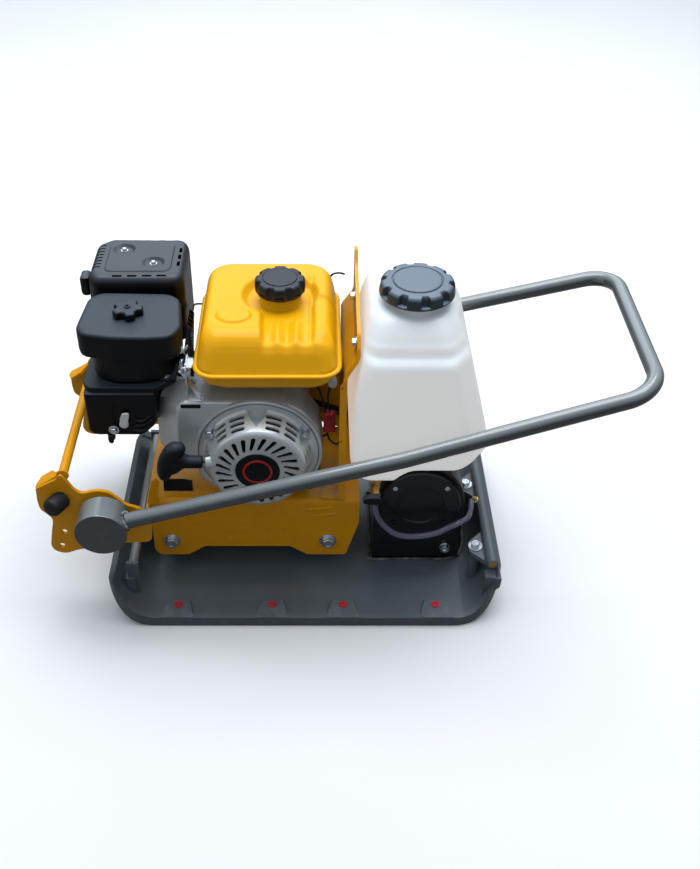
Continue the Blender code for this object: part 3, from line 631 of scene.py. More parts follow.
ALUMINIUM = surface(
    "m_cast_alu", "cast_aluminium", (0.42, 0.43, 0.43), rough=0.48, metal=0.85, bump=0.45,
    bump_scale=420, grain=0.2, vary=0.16, rough_vary=0.14, dust=(0.15, (0.2, 0.19, 0.18)))
ZINC = surface(
    "m_zinc", "bright_steel", (0.62, 0.66, 0.70), rough=0.22, metal=1.0, bump=0.03,
    bump_scale=500, vary=0.14, vary_scale=60, rough_vary=0.16, dust=(0.05, (0.35, 0.33, 0.30)))
STEEL = surface(
    "m_steel", "bright_steel", (0.50, 0.51, 0.52), rough=0.30, metal=1.0, bump_scale=400,
    vary=0.10, rough_vary=0.12, stretch=(1, 6, 1))
BRASS = surface(
    "m_brass", "brass", (0.62, 0.42, 0.17), rough=0.28, metal=1.0, bump=0.04, bump_scale=500,
    vary=0.16, vary_scale=50, rough_vary=0.16)
# white tank plastic: a painted sky highlight lightens its upward faces and a painted glow lights its sides
WHITE = surface(
    "m_white_tank", "white_plastic", (0.78, 0.79, 0.78), rough=0.34, bump=0.04, bump_scale=500,
    vary=0.02, vary_scale=7, rough_vary=0.06, subsurface=0.35, orange_peel=0.08,
    dust=(0.02, (0.6, 0.6, 0.58)), painted_top_highlight=(0.6, (0.80, 0.90, 0.96)), painted_glow=0.37)
WHITE_LEVER = surface("m_white_lever", "white_plastic", (0.78, 0.79, 0.78), vary=0.04)
RED = surface("m_red", "rubber", (0.55, 0.012, 0.018), rough=0.38)
DARK_RED = surface("m_red_dark", "rubber", (0.33, 0.01, 0.02), rough=0.35)
WIRE = surface("m_wire", "rubber", (0.010, 0.010, 0.011), bump=0.03, vary=0.1)
WELD = surface(
    "m_weld", None, (0.16, 0.17, 0.175), rough=0.42, metal=0.3, bump=0.4, bump_scale=260,
    vary=0.5, vary_scale=60, rough_vary=0.2)
# near-black for a screen standing in for the shade inside the recoil cover: painted shade
PAINTED_SHADE_BLACK = surface(
    "m_painted_shade_inside", "black_plastic", (0.006, 0.006, 0.007), rough=0.8, bump=0.1,
    bump_scale=300, vary=0.2)
CLEAR = surface(
    "m_clear_hose", "clear_hose", (0.62, 0.64, 0.80), rough=0.06, bump=0.0, bump_scale=300,
    vary=0.02, rough_vary=0.01, transmission=0.88, ior=1.30)


# =============================================================================
# making pieces
# =============================================================================
def new_object(name, shape):
    verts, faces = shape
    mesh = bpy.data.meshes.new(name)
    mesh.from_pydata([(x * MM, y * MM, z * MM) for x, y, z in verts], [], faces)
    bm = bmesh.new()
    bm.from_mesh(mesh)
    bmesh.ops.recalc_face_normals(bm, faces=bm.faces)
    bm.to_mesh(mesh)
    bm.free()
    mesh.update()
    obj = bpy.data.objects.new(name, mesh)
    COLLECTION.objects.link(obj)
    return obj


def remove(obj):
    mesh = obj.data
    bpy.data.objects.remove(obj, do_unlink=True)
    bpy.data.meshes.remove(mesh)


def bake(obj):
    """Apply all modifiers."""
    bpy.context.view_layer.update()
    evaluated = obj.evaluated_get(bpy.context.evaluated_depsgraph_get())
    mesh = bpy.data.meshes.new_from_object(evaluated)
    old = obj.data
    obj.modifiers.clear()
    obj.data = mesh
    mesh.name = obj.name
    bpy.data.meshes.remove(old)


def boolean(obj, operation, shape):
    tool = new_object("tool", shape)
    m = obj.modifiers.new("b", "BOOLEAN")
    m.operation = operation
    m.solver = "EXACT"
    m.object = tool
    bake(obj)
    remove(tool)
    bm = bmesh.new()
    bm.from_mesh(obj.data)
    bmesh.ops.remove_doubles(bm, verts=bm.verts, dist=1e-6)
    bm.to_mesh(obj.data)
    bm.free()


def carved(name, add, cut, common):
    obj = new_object(name, add[0])
    for operation, shapes in (("UNION", add[1:]), ("DIFFERENCE", cut), ("INTERSECT", common)):
        for shape in shapes:
            boolean(obj, operation, shape)
    return obj


def fuse(add, cut=(), common=()):
    """Fused, cut and trimmed shape, given back as (vertices, faces)."""
    obj = carved("csg", add, cut, common)
    verts = [tuple(c / MM for c in v.co) for v in obj.data.vertices]
    faces = [tuple(p.vertices) for p in obj.data.polygons]
    remove(obj)
    return verts, faces


def add_smooth(obj, iterations):
    m = obj.modifiers.new("s", "SMOOTH")
    m.factor = 0.5
    m.iterations = iterations


def piece(name, material, add, cut=(), common=(), body="chassis", replaces=(),
          slot="by material", bevel=0.0, segments=2, bevel_angle=28.0, sharp=32.0, voxel=0.0,
          relax=0, weighted=True):
    """One shown piece: add is fused, cut taken away, common intersected.
    voxel melts it into one skin, which relax smoothing steps even out; angles in degrees."""
    obj = carved(name, add, cut, common)
    if voxel:
        m = obj.modifiers.new("v", "REMESH")
        m.mode = "VOXEL"
        m.voxel_size = voxel * MM
        add_smooth(obj, relax)
        bake(obj)
    if bevel:
        m = obj.modifiers.new("bev", "BEVEL")
        m.width = bevel * MM
        m.segments = segments
        m.limit_method = "ANGLE"
        m.angle_limit = math.radians(bevel_angle)
        m.use_clamp_overlap = True
        m.miter_outer = "MITER_ARC" if segments > 1 else "MITER_SHARP"
        bake(obj)
    obj.data.shade_smooth()
    obj.data.set_sharp_from_angle(angle=math.radians(sharp))
    if weighted and not voxel:
        m = obj.modifiers.new("wn", "WEIGHTED_NORMAL")
        m.keep_sharp = True
        m.weight = 60
        bake(obj)
    obj.data.materials.clear()
    obj.data.materials.append(material)
    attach(obj, body)
    if replaces:
        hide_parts(*replaces)
    if slot == "by material":
        slot = SLOTS[material.name]
    return obj


def loose(name, material, shapes, **options):
    """Several closed bodies kept as they are in one piece (bolts with washers, wires)."""
    return piece(name, material, [join(*shapes)], weighted=False, **options)


def weld(name, points, radius, material, seed, closed=False, body="chassis"):
    """Laid weld bead: rippled, slightly uneven."""
    draw = random.Random(seed)
    curve = spline(points, 10, closed)
    path = []
    for i in range(len(curve) - (0 if closed else 1)):
        a, b = curve[i], curve[(i + 1) % len(curve)]
        steps = max(1, int((b - a).length / 1.6))
        path += [a.lerp(b, j / steps) for j in range(steps)]
    if not closed:
        path.append(curve[-1])
    radii = [radius * (1 + 0.16 * math.sin(i * 2.1) + draw.uniform(-0.09, 0.09))
             for i in range(len(path))]
    bead = tube(path, radii, 10, closed, 0 if closed else radius)
    loose(name, material, [bead], body=body, slot=None, sharp=60)


def soften(obj):
    add_smooth(obj, 3)
    bake(obj)
    obj.data.shade_smooth()


def corner_names(stem):
    return [f"{stem}_{end}_{side}" for end in ("rear", "front") for side in ("near", "far")]


# =============================================================================
# base plate
# =============================================================================
PLATE_HALF_LENGTH, PLATE_HALF_WIDTH = 322.0, 227.0
PAD_X = (-214.5, -58.5, 58.5, 212.5)

# Side view of the plate (x, z): underside from rear to front, then the top back again.
under = flat_curve([(-328, 64), (-318, 39), (-298, 16), (-270, 3), (-240, 0)])
under += flat_curve([(252, 0), (276, 3), (299, 17), (314, 41), (322, 70)])
top = flat_curve([(313, 76), (302, 50), (289, 29), (275, 17), (258, 12)])
top += flat_curve([(-238, 12), (-264, 15), (-289, 28), (-306, 49), (-317, 71)])
half = PLATE_HALF_WIDTH
rear, front = -PLATE_HALF_LENGTH - 7, PLATE_HALF_LENGTH + 1
plan = round_corners([(rear, -half), (front, -half), (front, half), (rear, half)],
                     [60, 84, 84, 60], 14)
rim_section = [(x, z - 4) for x, z in top] + [(x, z + 6.0) for x, z in reversed(top)]
rim = fuse([prism("y", rim_section, -half, half)],
           cut=[prism("z", inset(plan, 11), -10, 140)],
           common=[prism("z", inset(plan, 0.3), -5, 130)])
add = [fuse([prism("y", under + top, -half - 3, half + 3)], common=[prism("z", plan, -5, 130)]), rim]
for side, _ in SIDES:
    for x in PAD_X:
        # pad against the side edge, tapering inwards and upwards
        edge = side * (half - 0.9)
        rings = []
        for outer, inner, depth, z in ((31, 20.5, 46, 8), (28, 17.5, 39, 19.2)):
            y = side * (half - depth)
            rings.append([(x - outer, edge, z), (x + outer, edge, z), (x + inner, y, z),
                          (x - inner, y, z)])
        add.append(loft(rings))
    for x in MOUNT_X:
        # upright lug inside each rubber mount
        lug = [(x - 24, 6), (x + 24, 6), (x + 20, 88), (x + 12, 96), (x - 12, 96), (x - 20, 88)]
        add.append(prism("y", round_corners(lug, [0, 0, 6, 6, 6, 6]), *span(side, 52, 61.7)))
    add.append(prism("y", [(291, 26), (317, 52), (318.4, 70), (299, 76), (292, 73)],
                     *span(side, 171, 190)))
for y in SPRAY_LUG_Y:
    # boss under each spray bar bolt
    add.append(stack("z", ((circle((SPRAY_LUG_X, y), 10.5, 20), 10),
                           (circle((SPRAY_LUG_X, y), 9.5, 20), 75.6))))
piece("base_plate_shell", ANTHRACITE, add, replaces=["base_plate"], bevel=1.3, bevel_angle=26,
      sharp=38)
piece("base_rear_wall", ANTHRACITE,
      [box(-300, -285, -180, 180, 25, 61), box(-297, -277, -176, -168.4, 30, 92),
       box(-297, -277, 168.4, 176, 30, 92)],
      cut=[box(-305, -280, y - 13, y + 13, 36, 54) for y in (-120, -60, 0, 60, 120)], bevel=1.2)
piece("rear_lifting_rod", SLATE,
      [lathe("y", (-286, 82), [(0, -168), (5.8, -168), (7, -166.8), (7, 166.8), (5.8, 168),
                               (0, 168)], 36)], replaces=["rear_lift_rod"])
plugs = []
for side, _ in SIDES:
    for x in PAD_X:
        center = (x, side * 198.2)
        plugs.append(lathe("z", center, [(2.3, 16.5), (6.7, 16.5), (6.9, 20.6), (6.2, 21.3),
                                         (3.0, 21.3), (2.3, 20.6)], 36))
        plugs.append(disc("z", center, 2.6, 17.5, 18.6, 24))
loose("plate_hole_plugs", RED, plugs)

# =============================================================================
# exciter
# =============================================================================
CASE_RADIUS, FOOT_Z = 75, 12.4
arch = [polar(EXCITER, CASE_RADIUS, math.pi * k / 40) for k in range(41)]
case_outline = [(EXCITER_X + CASE_RADIUS, FOOT_Z)] + arch + [(EXCITER_X - CASE_RADIUS, FOOT_Z)]
case_rings = []
for off, y in ((2.6, -84), (0.9, -83.2), (0, -81), (0, 81), (0.9, 83.2), (2.6, 84)):
    case_rings.append([(x, y, max(z, FOOT_Z)) for x, z in inset(case_outline, off)])
# the foot spreads onto the upturned front of the plate
foot = [(250, -82), (260, -78.5), (267, -68), (271, -48), (271, 48), (267, 68), (260, 78.5), (250, 82)]
apron = stack("z", ((foot, 13.5), (foot, 19),
                    ([(min(x, 261.5) - 0.5, y * 0.985) for x, y in foot], 34)))
piece("exciter_case", BLACK_METAL, [loft(case_rings), apron], sharp=40,
      replaces=["exciter_housing", "exciter_bearing_near", "exciter_bearing_far"])

cover_profile = [(0, -91.8), (37.5, -91.8), (39.2, -92.4), (40.2, -94.2), (41.5, -94.7),
                 (62, -94.7), (66, -93.6), (67.6, -91.0), (67.6, -84.3), (0, -84.3)]
screws = [polar(EXCITER, 57.4, math.radians(a)) for a in (42, 138, 222, 318)]
piece("exciter_cover_near_plate", BLACK_METAL, [lathe("y", EXCITER, cover_profile, 96)],
      cut=[cylinder("y", spot, 4.9, -100, -93.2, 24) for spot in screws],
      replaces=["exciter_cover_near"], bevel=0.4)
piece("exciter_cover_far_plate", BLACK_METAL,
      [lathe("y", EXCITER, [(0, 84.3), (67, 84.3), (67, 91), (64, 93), (20, 93), (18, 92),
                            (0, 92)], 72)],
      cut=[cylinder("y", EXCITER, 15.6, 78, 98, 64)], replaces=["exciter_cover_far"], bevel=0.6)
loose("exciter_cover_screws_top", ZINC, [socket_screw(spot, -93.0) for spot in screws[:2]])
loose("exciter_cover_screws_low", BLACK_METAL, [socket_screw(spot, -93.0) for spot in screws[2:]])
loose("exciter_far_screws", ZINC, [socket_screw(spot, 90.5, side=1) for spot in screws])
DRAIN = (236.6, 40.7)
loose("exciter_drain_bolt", ZINC,
      [lathe("y", DRAIN, [(0, -84.05), (9.3, -84.05), (9.3, -85.6), (8.9, -86.1), (0, -86.1)], 36),
       socket_screw(DRAIN, -86.1, r=7.4, height=6.0, key=3.6)])
weld("exciter_foot_weld",
     [(106, -86, 14.2), (140, -87, 13.6), (180, -86.6, 13.8), (215, -87.6, 14.0),
      (240, -87.4, 14.5), (258, -82, 15.5), (266, -72, 18), (272, -50, 21), (274, -20, 22),
      (274, 20, 22), (272, 50, 21), (266, 72, 18), (258, 82, 15.5), (240, 87.4, 14.5),
      (180, 87, 13.8), (112, 86.5, 13.8), (109.5, 60, 13.6), (109.5, 0, 13.6),
      (109.5, -60, 13.6)], 2.0, WELD, 3, closed=True)

# =============================================================================
# belt drive behind its guard
# =============================================================================
CLUTCH_RADIUS, EXCITER_PULLEY_RADIUS = 50.0, 33.0
piece("exciter_shaft_end", STEEL,
      [lathe("y", EXCITER, [(0, 85), (14.6, 85), (14.6, 151), (13.4, 152), (0, 152)], 48)],
      body="exciter_rotor", replaces=["exciter_shaft"])


def v_pulley(name, center, r, y0, y1, bore, body, replaces, material):
    half_section = [(bore, y0), (bore + 12, y0), (bore + 13, y0 + 3), (r - 8, y0 + 3), (r - 7, y0),
                    (r - 0.8, y0), (r, y0 + 0.8), (r, BELT_Y - 7.2), (r - 9, BELT_Y - 3.6),
                    (r - 9, BELT_Y + 3.6), (r, BELT_Y + 7.2), (r, y1 - 0.8), (r - 0.8, y1),
                    (r - 7, y1), (r - 8, y1 - 3), (bore + 13, y1 - 3), (bore + 12, y1), (bore, y1)]
    piece(name, material, [lathe("y", center, half_section, 72)], body=body, replaces=replaces,
          sharp=34)


v_pulley("exciter_v_pulley", EXCITER, 33, 128, 150, 15.3, "exciter_rotor", ["exciter_pulley"],
         ALUMINIUM)
v_pulley("clutch_v_pulley", CRANK, 50, 124, 154, 14.3, "crank", ["clutch_pulley"], STEEL)

# angle of the line between the two axes, and of the tangent points from it
dx, dz = EXCITER_X - CRANK_X, EXCITER_Z - CRANK_Z
BELT_ANGLE = math.atan2(dz, dx)
wrap = math.acos((CLUTCH_RADIUS - EXCITER_PULLEY_RADIUS) / math.hypot(dx, dz))
stations = [(CRANK, CLUTCH_RADIUS, BELT_ANGLE + wrap + (2 * math.pi - 2 * wrap) * k / 48)
            for k in range(49)]
stations += [(EXCITER, EXCITER_PULLEY_RADIUS, BELT_ANGLE - wrap + 2 * wrap * k / 32)
             for k in range(33)]
belt = []
for center, r, w in stations:
    inner, outer = r - 8.0, r - 0.4
    middle = (inner + outer) / 2
    right = [(inner, -3.0), (middle, -4.5), (outer - 0.8, -6.0), (outer, -5.2)]
    section = right + [(q, -dy) for q, dy in reversed(right)]
    belt.append([point("y", *polar(center, q, w), BELT_Y + dy) for q, dy in section])
piece("v_belt", RUBBER, [loft(belt, closed=True)], replaces=["drive_belt"])


def guard_shell(stations):
    """Outline round both pulleys; stations holds (inset, y)."""
    rings = []
    for off, y in stations:
        ring = []
        for center, r, a, b in ((CRANK, 66.0, BELT_ANGLE + 1.62, BELT_ANGLE + 4.66),
                                (EXCITER, 50.0, BELT_ANGLE - 1.5, BELT_ANGLE + 1.5)):
            ring += [polar(center, r - off, a + (b - a) * k / 32) for k in range(33)]
        rings.append(level("y", ring, y))
    return loft(rings)


# pressed pan with rounded shoulder and radial cooling slots
cut = [guard_shell(((2.6, 110), (2.6, 161), (4.5, 164.6), (8, 165.4)))]
for center, r0, r1, n in ((CRANK, 16, 44, 10), (EXCITER, 12, 30, 8)):
    for k in range(n):
        w = 2 * math.pi * k / n
        cut.append(oblong("y", polar(center, r0, w), polar(center, r1, w), 3.2, 160, 172))
piece("belt_guard_pan", YELLOW,
      [guard_shell(((0, 116), (0, 162), (0.6, 165), (2.2, 167.2), (5, 168), (8, 168)))],
      cut=cut, replaces=["belt_guard"], bevel=0.5)
ux, uz = math.cos(BELT_ANGLE), math.sin(BELT_ANGLE)
# distance along the belt line, then x and z offset from there
spots = ((95, 8, 30), (95, -22, -30), (190, 12, 22), (190, -16, -26))
loose("belt_guard_bolts", ZINC,
      hex_bolts([(CRANK_X + ux * s + x, 168.05, CRANK_Z + uz * s + z) for s, x, z in spots],
                FAR, 6.2, 5, 9.5, 1.4))

# =============================================================================
# engine bed on its rubber mounts
# =============================================================================


def bed_fold(r, low, n):
    """Section (y, z) of the folded sheet: two walls and a top, shoulders of radius r."""
    left = [(-91 - r, low), (-91 - r, 155)]
    left += [(-91 - r * math.cos(w), 155 + r * math.sin(w))
             for w in [math.pi / 2 * k / n for k in range(1, n + 1)]]
    return left + [(-y, z) for y, z in reversed(left)]


side_view = round_corners(
    [(-261, 164), (-261, 38), (-204.5, 38), (-175.5, 58), (-29.5, 58), (-0.5, 38), (65, 38),
     (86, 113), (86, 164)], [0, 16, 9, 7, 7, 9, 7, 9, 0], 8)
add = [fuse([prism("x", bed_fold(9, 30, 8), -261, 86)], cut=[prism("x", bed_fold(3, 20, 6), -270, 95)],
            common=[prism("y", side_view, -110, 110)])]
cut = []
for side, _ in SIDES:
    cut += [cylinder("y", (x, MOUNT_Z), 7, *span(side, 92, 103), 28) for x in MOUNT_X]
    # horn standing up from the rear end of the wall
    horn = round_corners([(-266, 133), (-266.5, 150), (-254, 203), (-250.5, 208), (-246, 206),
                          (-242, 199), (-243.5, 190), (-247, 160), (-247, 133)],
                         [2, 8, 6, 3, 3, 5, 0, 0, 0])
    add.append(prism("y", horn, *span(side, 93.9, 99.7)))
piece("engine_bed_pressing", YELLOW, add, cut=cut, replaces=["engine_bed"], bevel=1.0)
piece("bed_cross_plate", YELLOW,
      [prism("x", round_rect(-151.5, 151.5, 129, 157, 5, 6), -266.2, -260.3)], bevel=0.9)
# raised ribs on the near wall at the front
loose("bed_side_swages", YELLOW,
      [tube([(x0, -99.6, z0), ((x0 + x1) / 2, -101.0, (z0 + z1) / 2), (x1, -99.6, z1)], 2.2, 16,
            round_end=2.2) for x0, z0, x1, z1 in ((-2, 143, 40, 148), (6, 131, 46, 134))])
weld("bed_seam_front", [(-150, -97.0, 166.6), (-152, -98.6, 165.6), (-165, -98.6, 165.4)], 1.6,
     YELLOW, 5)

MOUNT_PROFILE = [(0, 62), (21.5, 62), (23, 64), (23, 67), (20.5, 71), (19.6, 78), (20.5, 85),
                 (23, 89), (23, 92), (21.5, 93.6), (0, 93.6)]
mounts = [(x, side) for x in MOUNT_X for side in (-1, 1)]
loose("mount_bolts", ZINC,
      [hex_bolt((x, side * 100.15, MOUNT_Z), (0, side, 0), 10.8, 6.6, 14.6, 2.2, spring=True,
                start=0.35 + 0.3 * (x > 0)) for x, side in mounts],
      replaces=corner_names("mount_bolt"))
loose("rubber_mounts", RUBBER,
      [lathe("y", (x, MOUNT_Z), sided(MOUNT_PROFILE, side), 48) for x, side in mounts],
      replaces=corner_names("rubber_mount"))

# =============================================================================
# handle brackets, cross bar, buffers, pivots
# =============================================================================
bracket = flat_curve(
    [(-424, 240), (-404, 252), (-391, 259), (-385.5, 266), (-381, 267.5), (-376, 261), (-371, 251),
     (-365, 240), (-357, 232.5), (-348, 231.6), (-338, 234.6), (-328, 236), (-318, 234.6),
     (-308, 229.5), (-296, 217), (-286, 206.5), (-272, 200.6), (-264, 196), (-258, 184)])
bracket += round_corners([(-258, 184), (-250, 160), (-253, 126), (-291, 123.5), (-340, 114.5)],
                         [0, 0, 11, 14, 0], 7)[1:-1]
bracket += flat_curve(
    [(-340, 114.5), (-373.4, 107.6), (-393.4, 100.4), (-405, 101.6), (-414.5, 108), (-417.5, 121),
     (-412, 150), (-407.4, 174), (-413, 186), (-422.5, 197), (-425, 214), (-424.5, 228)])
BUFFER_PROFILE = [(0, 0), (14.6, 0), (15.4, 1.2), (15.4, 24.5), (14.6, 28), (12.6, 30.6),
                  (8.5, 31.9), (0, 32.2)]
BOSS_PROFILE = [(0, 158.3), (25, 158.3), (26, 159.2), (26, 164.6), (25, 165.4), (0, 165.4)]
for side, tag in SIDES:
    lo, hi = span(side, 152, 158)
    wide = ((-423.5, 234), (-425.5, 239.5), (-389.5, 263.6), (-387.2, 258.8))
    narrow = ((-417.5, 238), (-419.5, 243.5), (-400.5, 256.3), (-398.2, 251.2))
    flange = stack("y", ((wide, side * 153.5), (wide, side * 145), (narrow, side * 131)))
    piece("handle_bracket_plate_" + tag, YELLOW, [prism("y", bracket, lo, hi), flange],
          cut=[cylinder("y", c, 5, lo - 2, hi + 2, 28) for c in ((-392, 148), (-400, 117))],
          replaces=["handle_bracket_" + tag], bevel=1.0, bevel_angle=35)
    # rubber buffer, leaning a little backwards
    lean = Vector((-0.42, side * 0.90, 0.10)).normalized()
    turn = Vector(UP).rotation_difference(lean).to_matrix()
    buffer = place(lathe("z", (0, 0), BUFFER_PROFILE, 48), (-386, side * 157.4, 219), turn)
    piece("handle_buffer_" + tag, RUBBER, [buffer], replaces=["handle_stop_" + tag], sharp=40)
    piece("handle_pivot_boss_" + tag, ZINC, [lathe("y", PIVOT, sided(BOSS_PROFILE, side), 56)],
          replaces=["handle_pivot_" + tag])
piece("rear_cross_bar", YELLOW,
      [tube([point("y", *CROSS_BAR, y) for y in (-152.5, 152.5)], 7.6, 32)],
      replaces=["rear_cross_tube"], bevel=0.8)
for (side, tag), seed in zip(SIDES, (7, 8)):
    weld("cross_bar_weld_" + tag, level("y", circle(CROSS_BAR, 8.2, 12), side * 151.2), 1.8, YELLOW,
         seed, closed=True)
piece("cross_bar_tab", YELLOW,
      [prism("y", [(-372, 256), (-352, 243), (-340, 246), (-336, 258), (-340, 268), (-366, 272)],
             88, 93)], bevel=0.8)
loose("cross_bar_tab_bolt", ZINC,
      [hex_bolt((-346, 87.9, 257), NEAR, 6.6, 5.5, 9, 1.4), hex_bolt((-346, 93.1, 257), FAR, 6.6, 5, 9, 1.4)])
loose("bracket_foot_bolts", ZINC, [hex_bolt((-263, 158.2, 143), FAR, 6.6, 5, 9.5, 1.5)])

# =============================================================================
# folding handle
# =============================================================================
HANDLE_ANGLE = math.radians(16.28)
along_x, along_z = math.cos(HANDLE_ANGLE), math.sin(HANDLE_ANGLE)
# distance from the pivot along the handle, y
corners = [(33, -190.9), (483.6, -190.9), (869.8, -166.6)]
corners += [(s, -y) for s, y in reversed(corners)]
path = fillet([(PIVOT_X + s * along_x, y, PIVOT_Z + s * along_z) for s, y in corners],
              [0, 150, 55, 55, 150, 0], 18)
piece("handle_tube", SLATE, [tube(path, 12.5, 40)], body="handle", replaces=["handle_frame"],
      sharp=60)
DRUM_PROFILE = [(0, 199.5), (27.5, 199.5), (27.5, 166.2), (39.6, 166.0), (41, 167.4), (41, 209.6),
                (40.4, 211.2), (38.8, 212.0), (0, 212.0)]
for side, tag in SIDES:
    piece("handle_drum_" + tag, SLATE, [lathe("y", PIVOT, sided(DRUM_PROFILE, side), 112)],
          body="handle", sharp=40)
    # bead where the tube meets the drum, bowed to follow the drum
    foot = Vector((PIVOT_X + 41.2 * along_x, side * 190.9, PIVOT_Z + 41.2 * along_z))
    bead = []
    for k in range(18):
        w = 2 * math.pi * k / 18
        bow = 6.5 * math.cos(w) ** 2
        bead.append((foot.x - along_z * 13.2 * math.cos(w) - along_x * bow * 0.35,
                     foot.y + 13.2 * math.sin(w),
                     foot.z + along_x * 13.2 * math.cos(w) - along_z * bow * 0.35))
    weld("handle_weld_" + tag, bead, 2.9, SLATE, 11 + side, closed=True, body="handle")

# =============================================================================
# engine block
# =============================================================================
fins = [box(-228, -160, -18, 72, 262, 330)]
for i in range(9):
    z = 264 + i * 7.6
    fins.append(round_box(-232, -170, -28, 82,
                          [(z, 0.6), (z + 0.5, 0), (z + 2.2, 0), (z + 2.7, 0.6)], 12, 4))
piece("barrel_fins", ALUMINIUM, fins, sharp=40)
add = [fuse([round_box(-150, 2, -36, 92, [(168, 3), (171, 0), (322, 0), (330, 8)], 16, 6),
             round_box(-172, 22, -33, 89, [(164.3, 1), (165.3, 0), (173, 0), (175, 2)], 12, 5)]),
       lathe("y", CRANK, [(0, -37.5), (50, -37.5), (54, -35), (56, -30), (56, 98), (54, 103),
                          (46, 107), (16, 108), (16, 112), (14.6, 112), (14.6, 106), (0, 106)], 72),
       prism("y", round_corners([(-150, 215), (-170, 228), (-170, 322), (-140, 330), (-130, 215)],
                                5), -34, 80)]
for x0, x1 in ((-110, -92), (-30, -12)):
    add.append(round_box(x0, x1, 30, 78, [(322, 0), (393.6, 0)], 5, 4))
piece("engine_crankcase", ALUMINIUM, add, replaces=["crankcase"], bevel=1.2, sharp=40)

# side cover on the belt side with radial ribs and bolts
cover = round_corners([(-146, 184), (-4, 184), (-1, 200), (-1, 305), (-20, 324), (-130, 324),
                       (-146, 305)], 14, 6)
ribs = [oblong("y", polar(CRANK, 57, w), polar(CRANK, 72, w), 2.2, 96, 103)
        for w in [math.radians(a) for a in (20, 60, 120, 160, 200, 240, 300, 340)]]
piece("crankcase_side_cover", ALUMINIUM, [prism("y", cover, 92.1, 98.5)] + ribs,
      cut=[cylinder("y", CRANK, 57, 80, 120, 64)], bevel=0.9)
spots = ((-138, 192), (-76, 190), (-12, 192), (-8, 250), (-10, 300), (-28, 317), (-122, 317),
         (-139, 300), (-140, 250))
loose("side_cover_bolts", ZINC, hex_bolts(level("y", spots, 98.55), FAR, 5.4, 4.5, 7.6, 1.0))
piece("crankshaft_end", STEEL,
      [lathe("y", CRANK, [(0, 112.3), (13.2, 112.3), (14, 113), (14, 151), (13, 152), (0, 152)],
             48)], body="crank", replaces=["crankshaft"])
piece("clutch_hub_bolt", ZINC, [disc("y", CRANK, 11.5, 154.1, 156.3, 40),
                                prism("y", circle(CRANK, 8.2, 6), 156.2, 161.5)],
      body="crank", bevel=0.5)
loose("oil_plug_and_dipstick", BLACK,
      [lathe("y", (-10, 200), [(0, -36), (11, -36), (11, -40), (12.5, -41), (12.5, -46),
                               (11, -47.5), (0, -47.5)], 40)])
loose("oil_drain_bolt", ZINC, [hex_bolt((-40, 92.1, 178), FAR, 6.5, 5, 9, 1.2),
                               hex_bolt((-110, -36.1, 180), NEAR, 6.5, 5, 9, 1.2)])

# cylinder head, rocker cover, ignition lead
piece("cylinder_head_casting", ALUMINIUM,
      [round_box(-262, -232.6, -20, 74, [(272, 1), (273, 0), (335, 0), (336, 1)], 8, 4)]
      + [round_box(-258, -234, -24, 78, [(z, 0), (z + 2.4, 0)], 8, 3)
         for z in (280, 288, 296, 304, 312, 320)],
      replaces=["cylinder_head"], bevel=0.5, segments=1)
piece("rocker_cover", BLACK_METAL,
      [prism("x", round_rect(-10, 64, 277, 331, 12, 6), -268.5, -262.2),
       prism("x", round_rect(-4, 58, 283, 325, 10, 6), -276, -264)], bevel=1.6, segments=3)
spots = ((-5, 282), (59, 282), (-5, 326), (59, 326))
loose("rocker_cover_bolts", ZINC, hex_bolts(level("x", spots, -268.6), REAR, 5, 4, 7, 1))
path = fillet([(-276.4, 27, 304), (-290, 27, 304), (-291, 46, 336)], [0, 9, 0], 8)
piece("plug_cap", RUBBER, [tube(path, 7.2, 28, round_end=1.5)], replaces=["spark_plug_cap"],
      sharp=50)
path = spline([(-291, 47, 338), (-290, 52, 352), (-270, 50, 362), (-236, 40, 362),
               (-214, 20, 352), (-206, 0, 345)], 8)
loose("ignition_lead", WIRE, [tube(path, 3.4, 16, round_end=1.0)])

# =============================================================================
# fan cover
# =============================================================================
# Outlines (x, z) at the back and the near face; they differ only at the rear end.
shared = [(-120, 174), (CRANK_X, 168.5), (-33, 174), (-3, 194), (19, 228), (25, 270), (19, 312),
          (-4, 346), (-30, 362), (-60, 366)]
shared_radii = [10, 14, 24, 34, 50, 34, 34, 34, 40, 34, 34, 30, 40]
back = round_corners([(-176.5, 236), (-172, 212), (-150, 190)] + shared
                     + [(-200, 366), (-231, 342), (-240, 320), (-240, 246), (-214, 222)],
                     shared_radii + [22, 16, 20, 20, 14], 6)
face = round_corners([(-178.5, 238), (-174, 212), (-152, 190)] + shared
                     + [(-192, 366), (-203, 352), (-206, 336), (-207.5, 262), (-203, 232)],
                     shared_radii + [10, 8, 14, 20, 14], 6)
middle = [((a[0] + b[0]) / 2, (a[1] + b[1]) / 2) for a, b in zip(back, face)]
outside = loft(insets("y", back, ((0, -38), (0, -52))) + insets("y", middle, ((0, -76),))
               + insets("y", face, ((0.2, -92), (1.6, -96.4), (4.2, -98.6), (7.5, -99.2))))
inside = loft(insets("y", back, ((3.5, -30), (3.5, -52))) + insets("y", middle, ((3.5, -76),))
              + insets("y", face, ((4.5, -90), (9, -95.6))))
collar = lathe("y", CRANK, [(94.6, -98.2), (94.6, -101.5), (96, -104.2), (98.4, -104.6),
                            (100.4, -103.2), (101.2, -98.2)], 128)
piece("fan_cover_pressing", SILVER, [outside, collar],
      cut=[inside, cylinder("y", CRANK, 80, -112, -88, 72)], replaces=["fan_cover"], sharp=44)
piece("shroud_blank_plate", BLACK,
      [prism("y", round_rect(-194, -163, 354.6, 361.6, 1.2, 3), -99.95, -99.1)],
      bevel=0.2, segments=1)
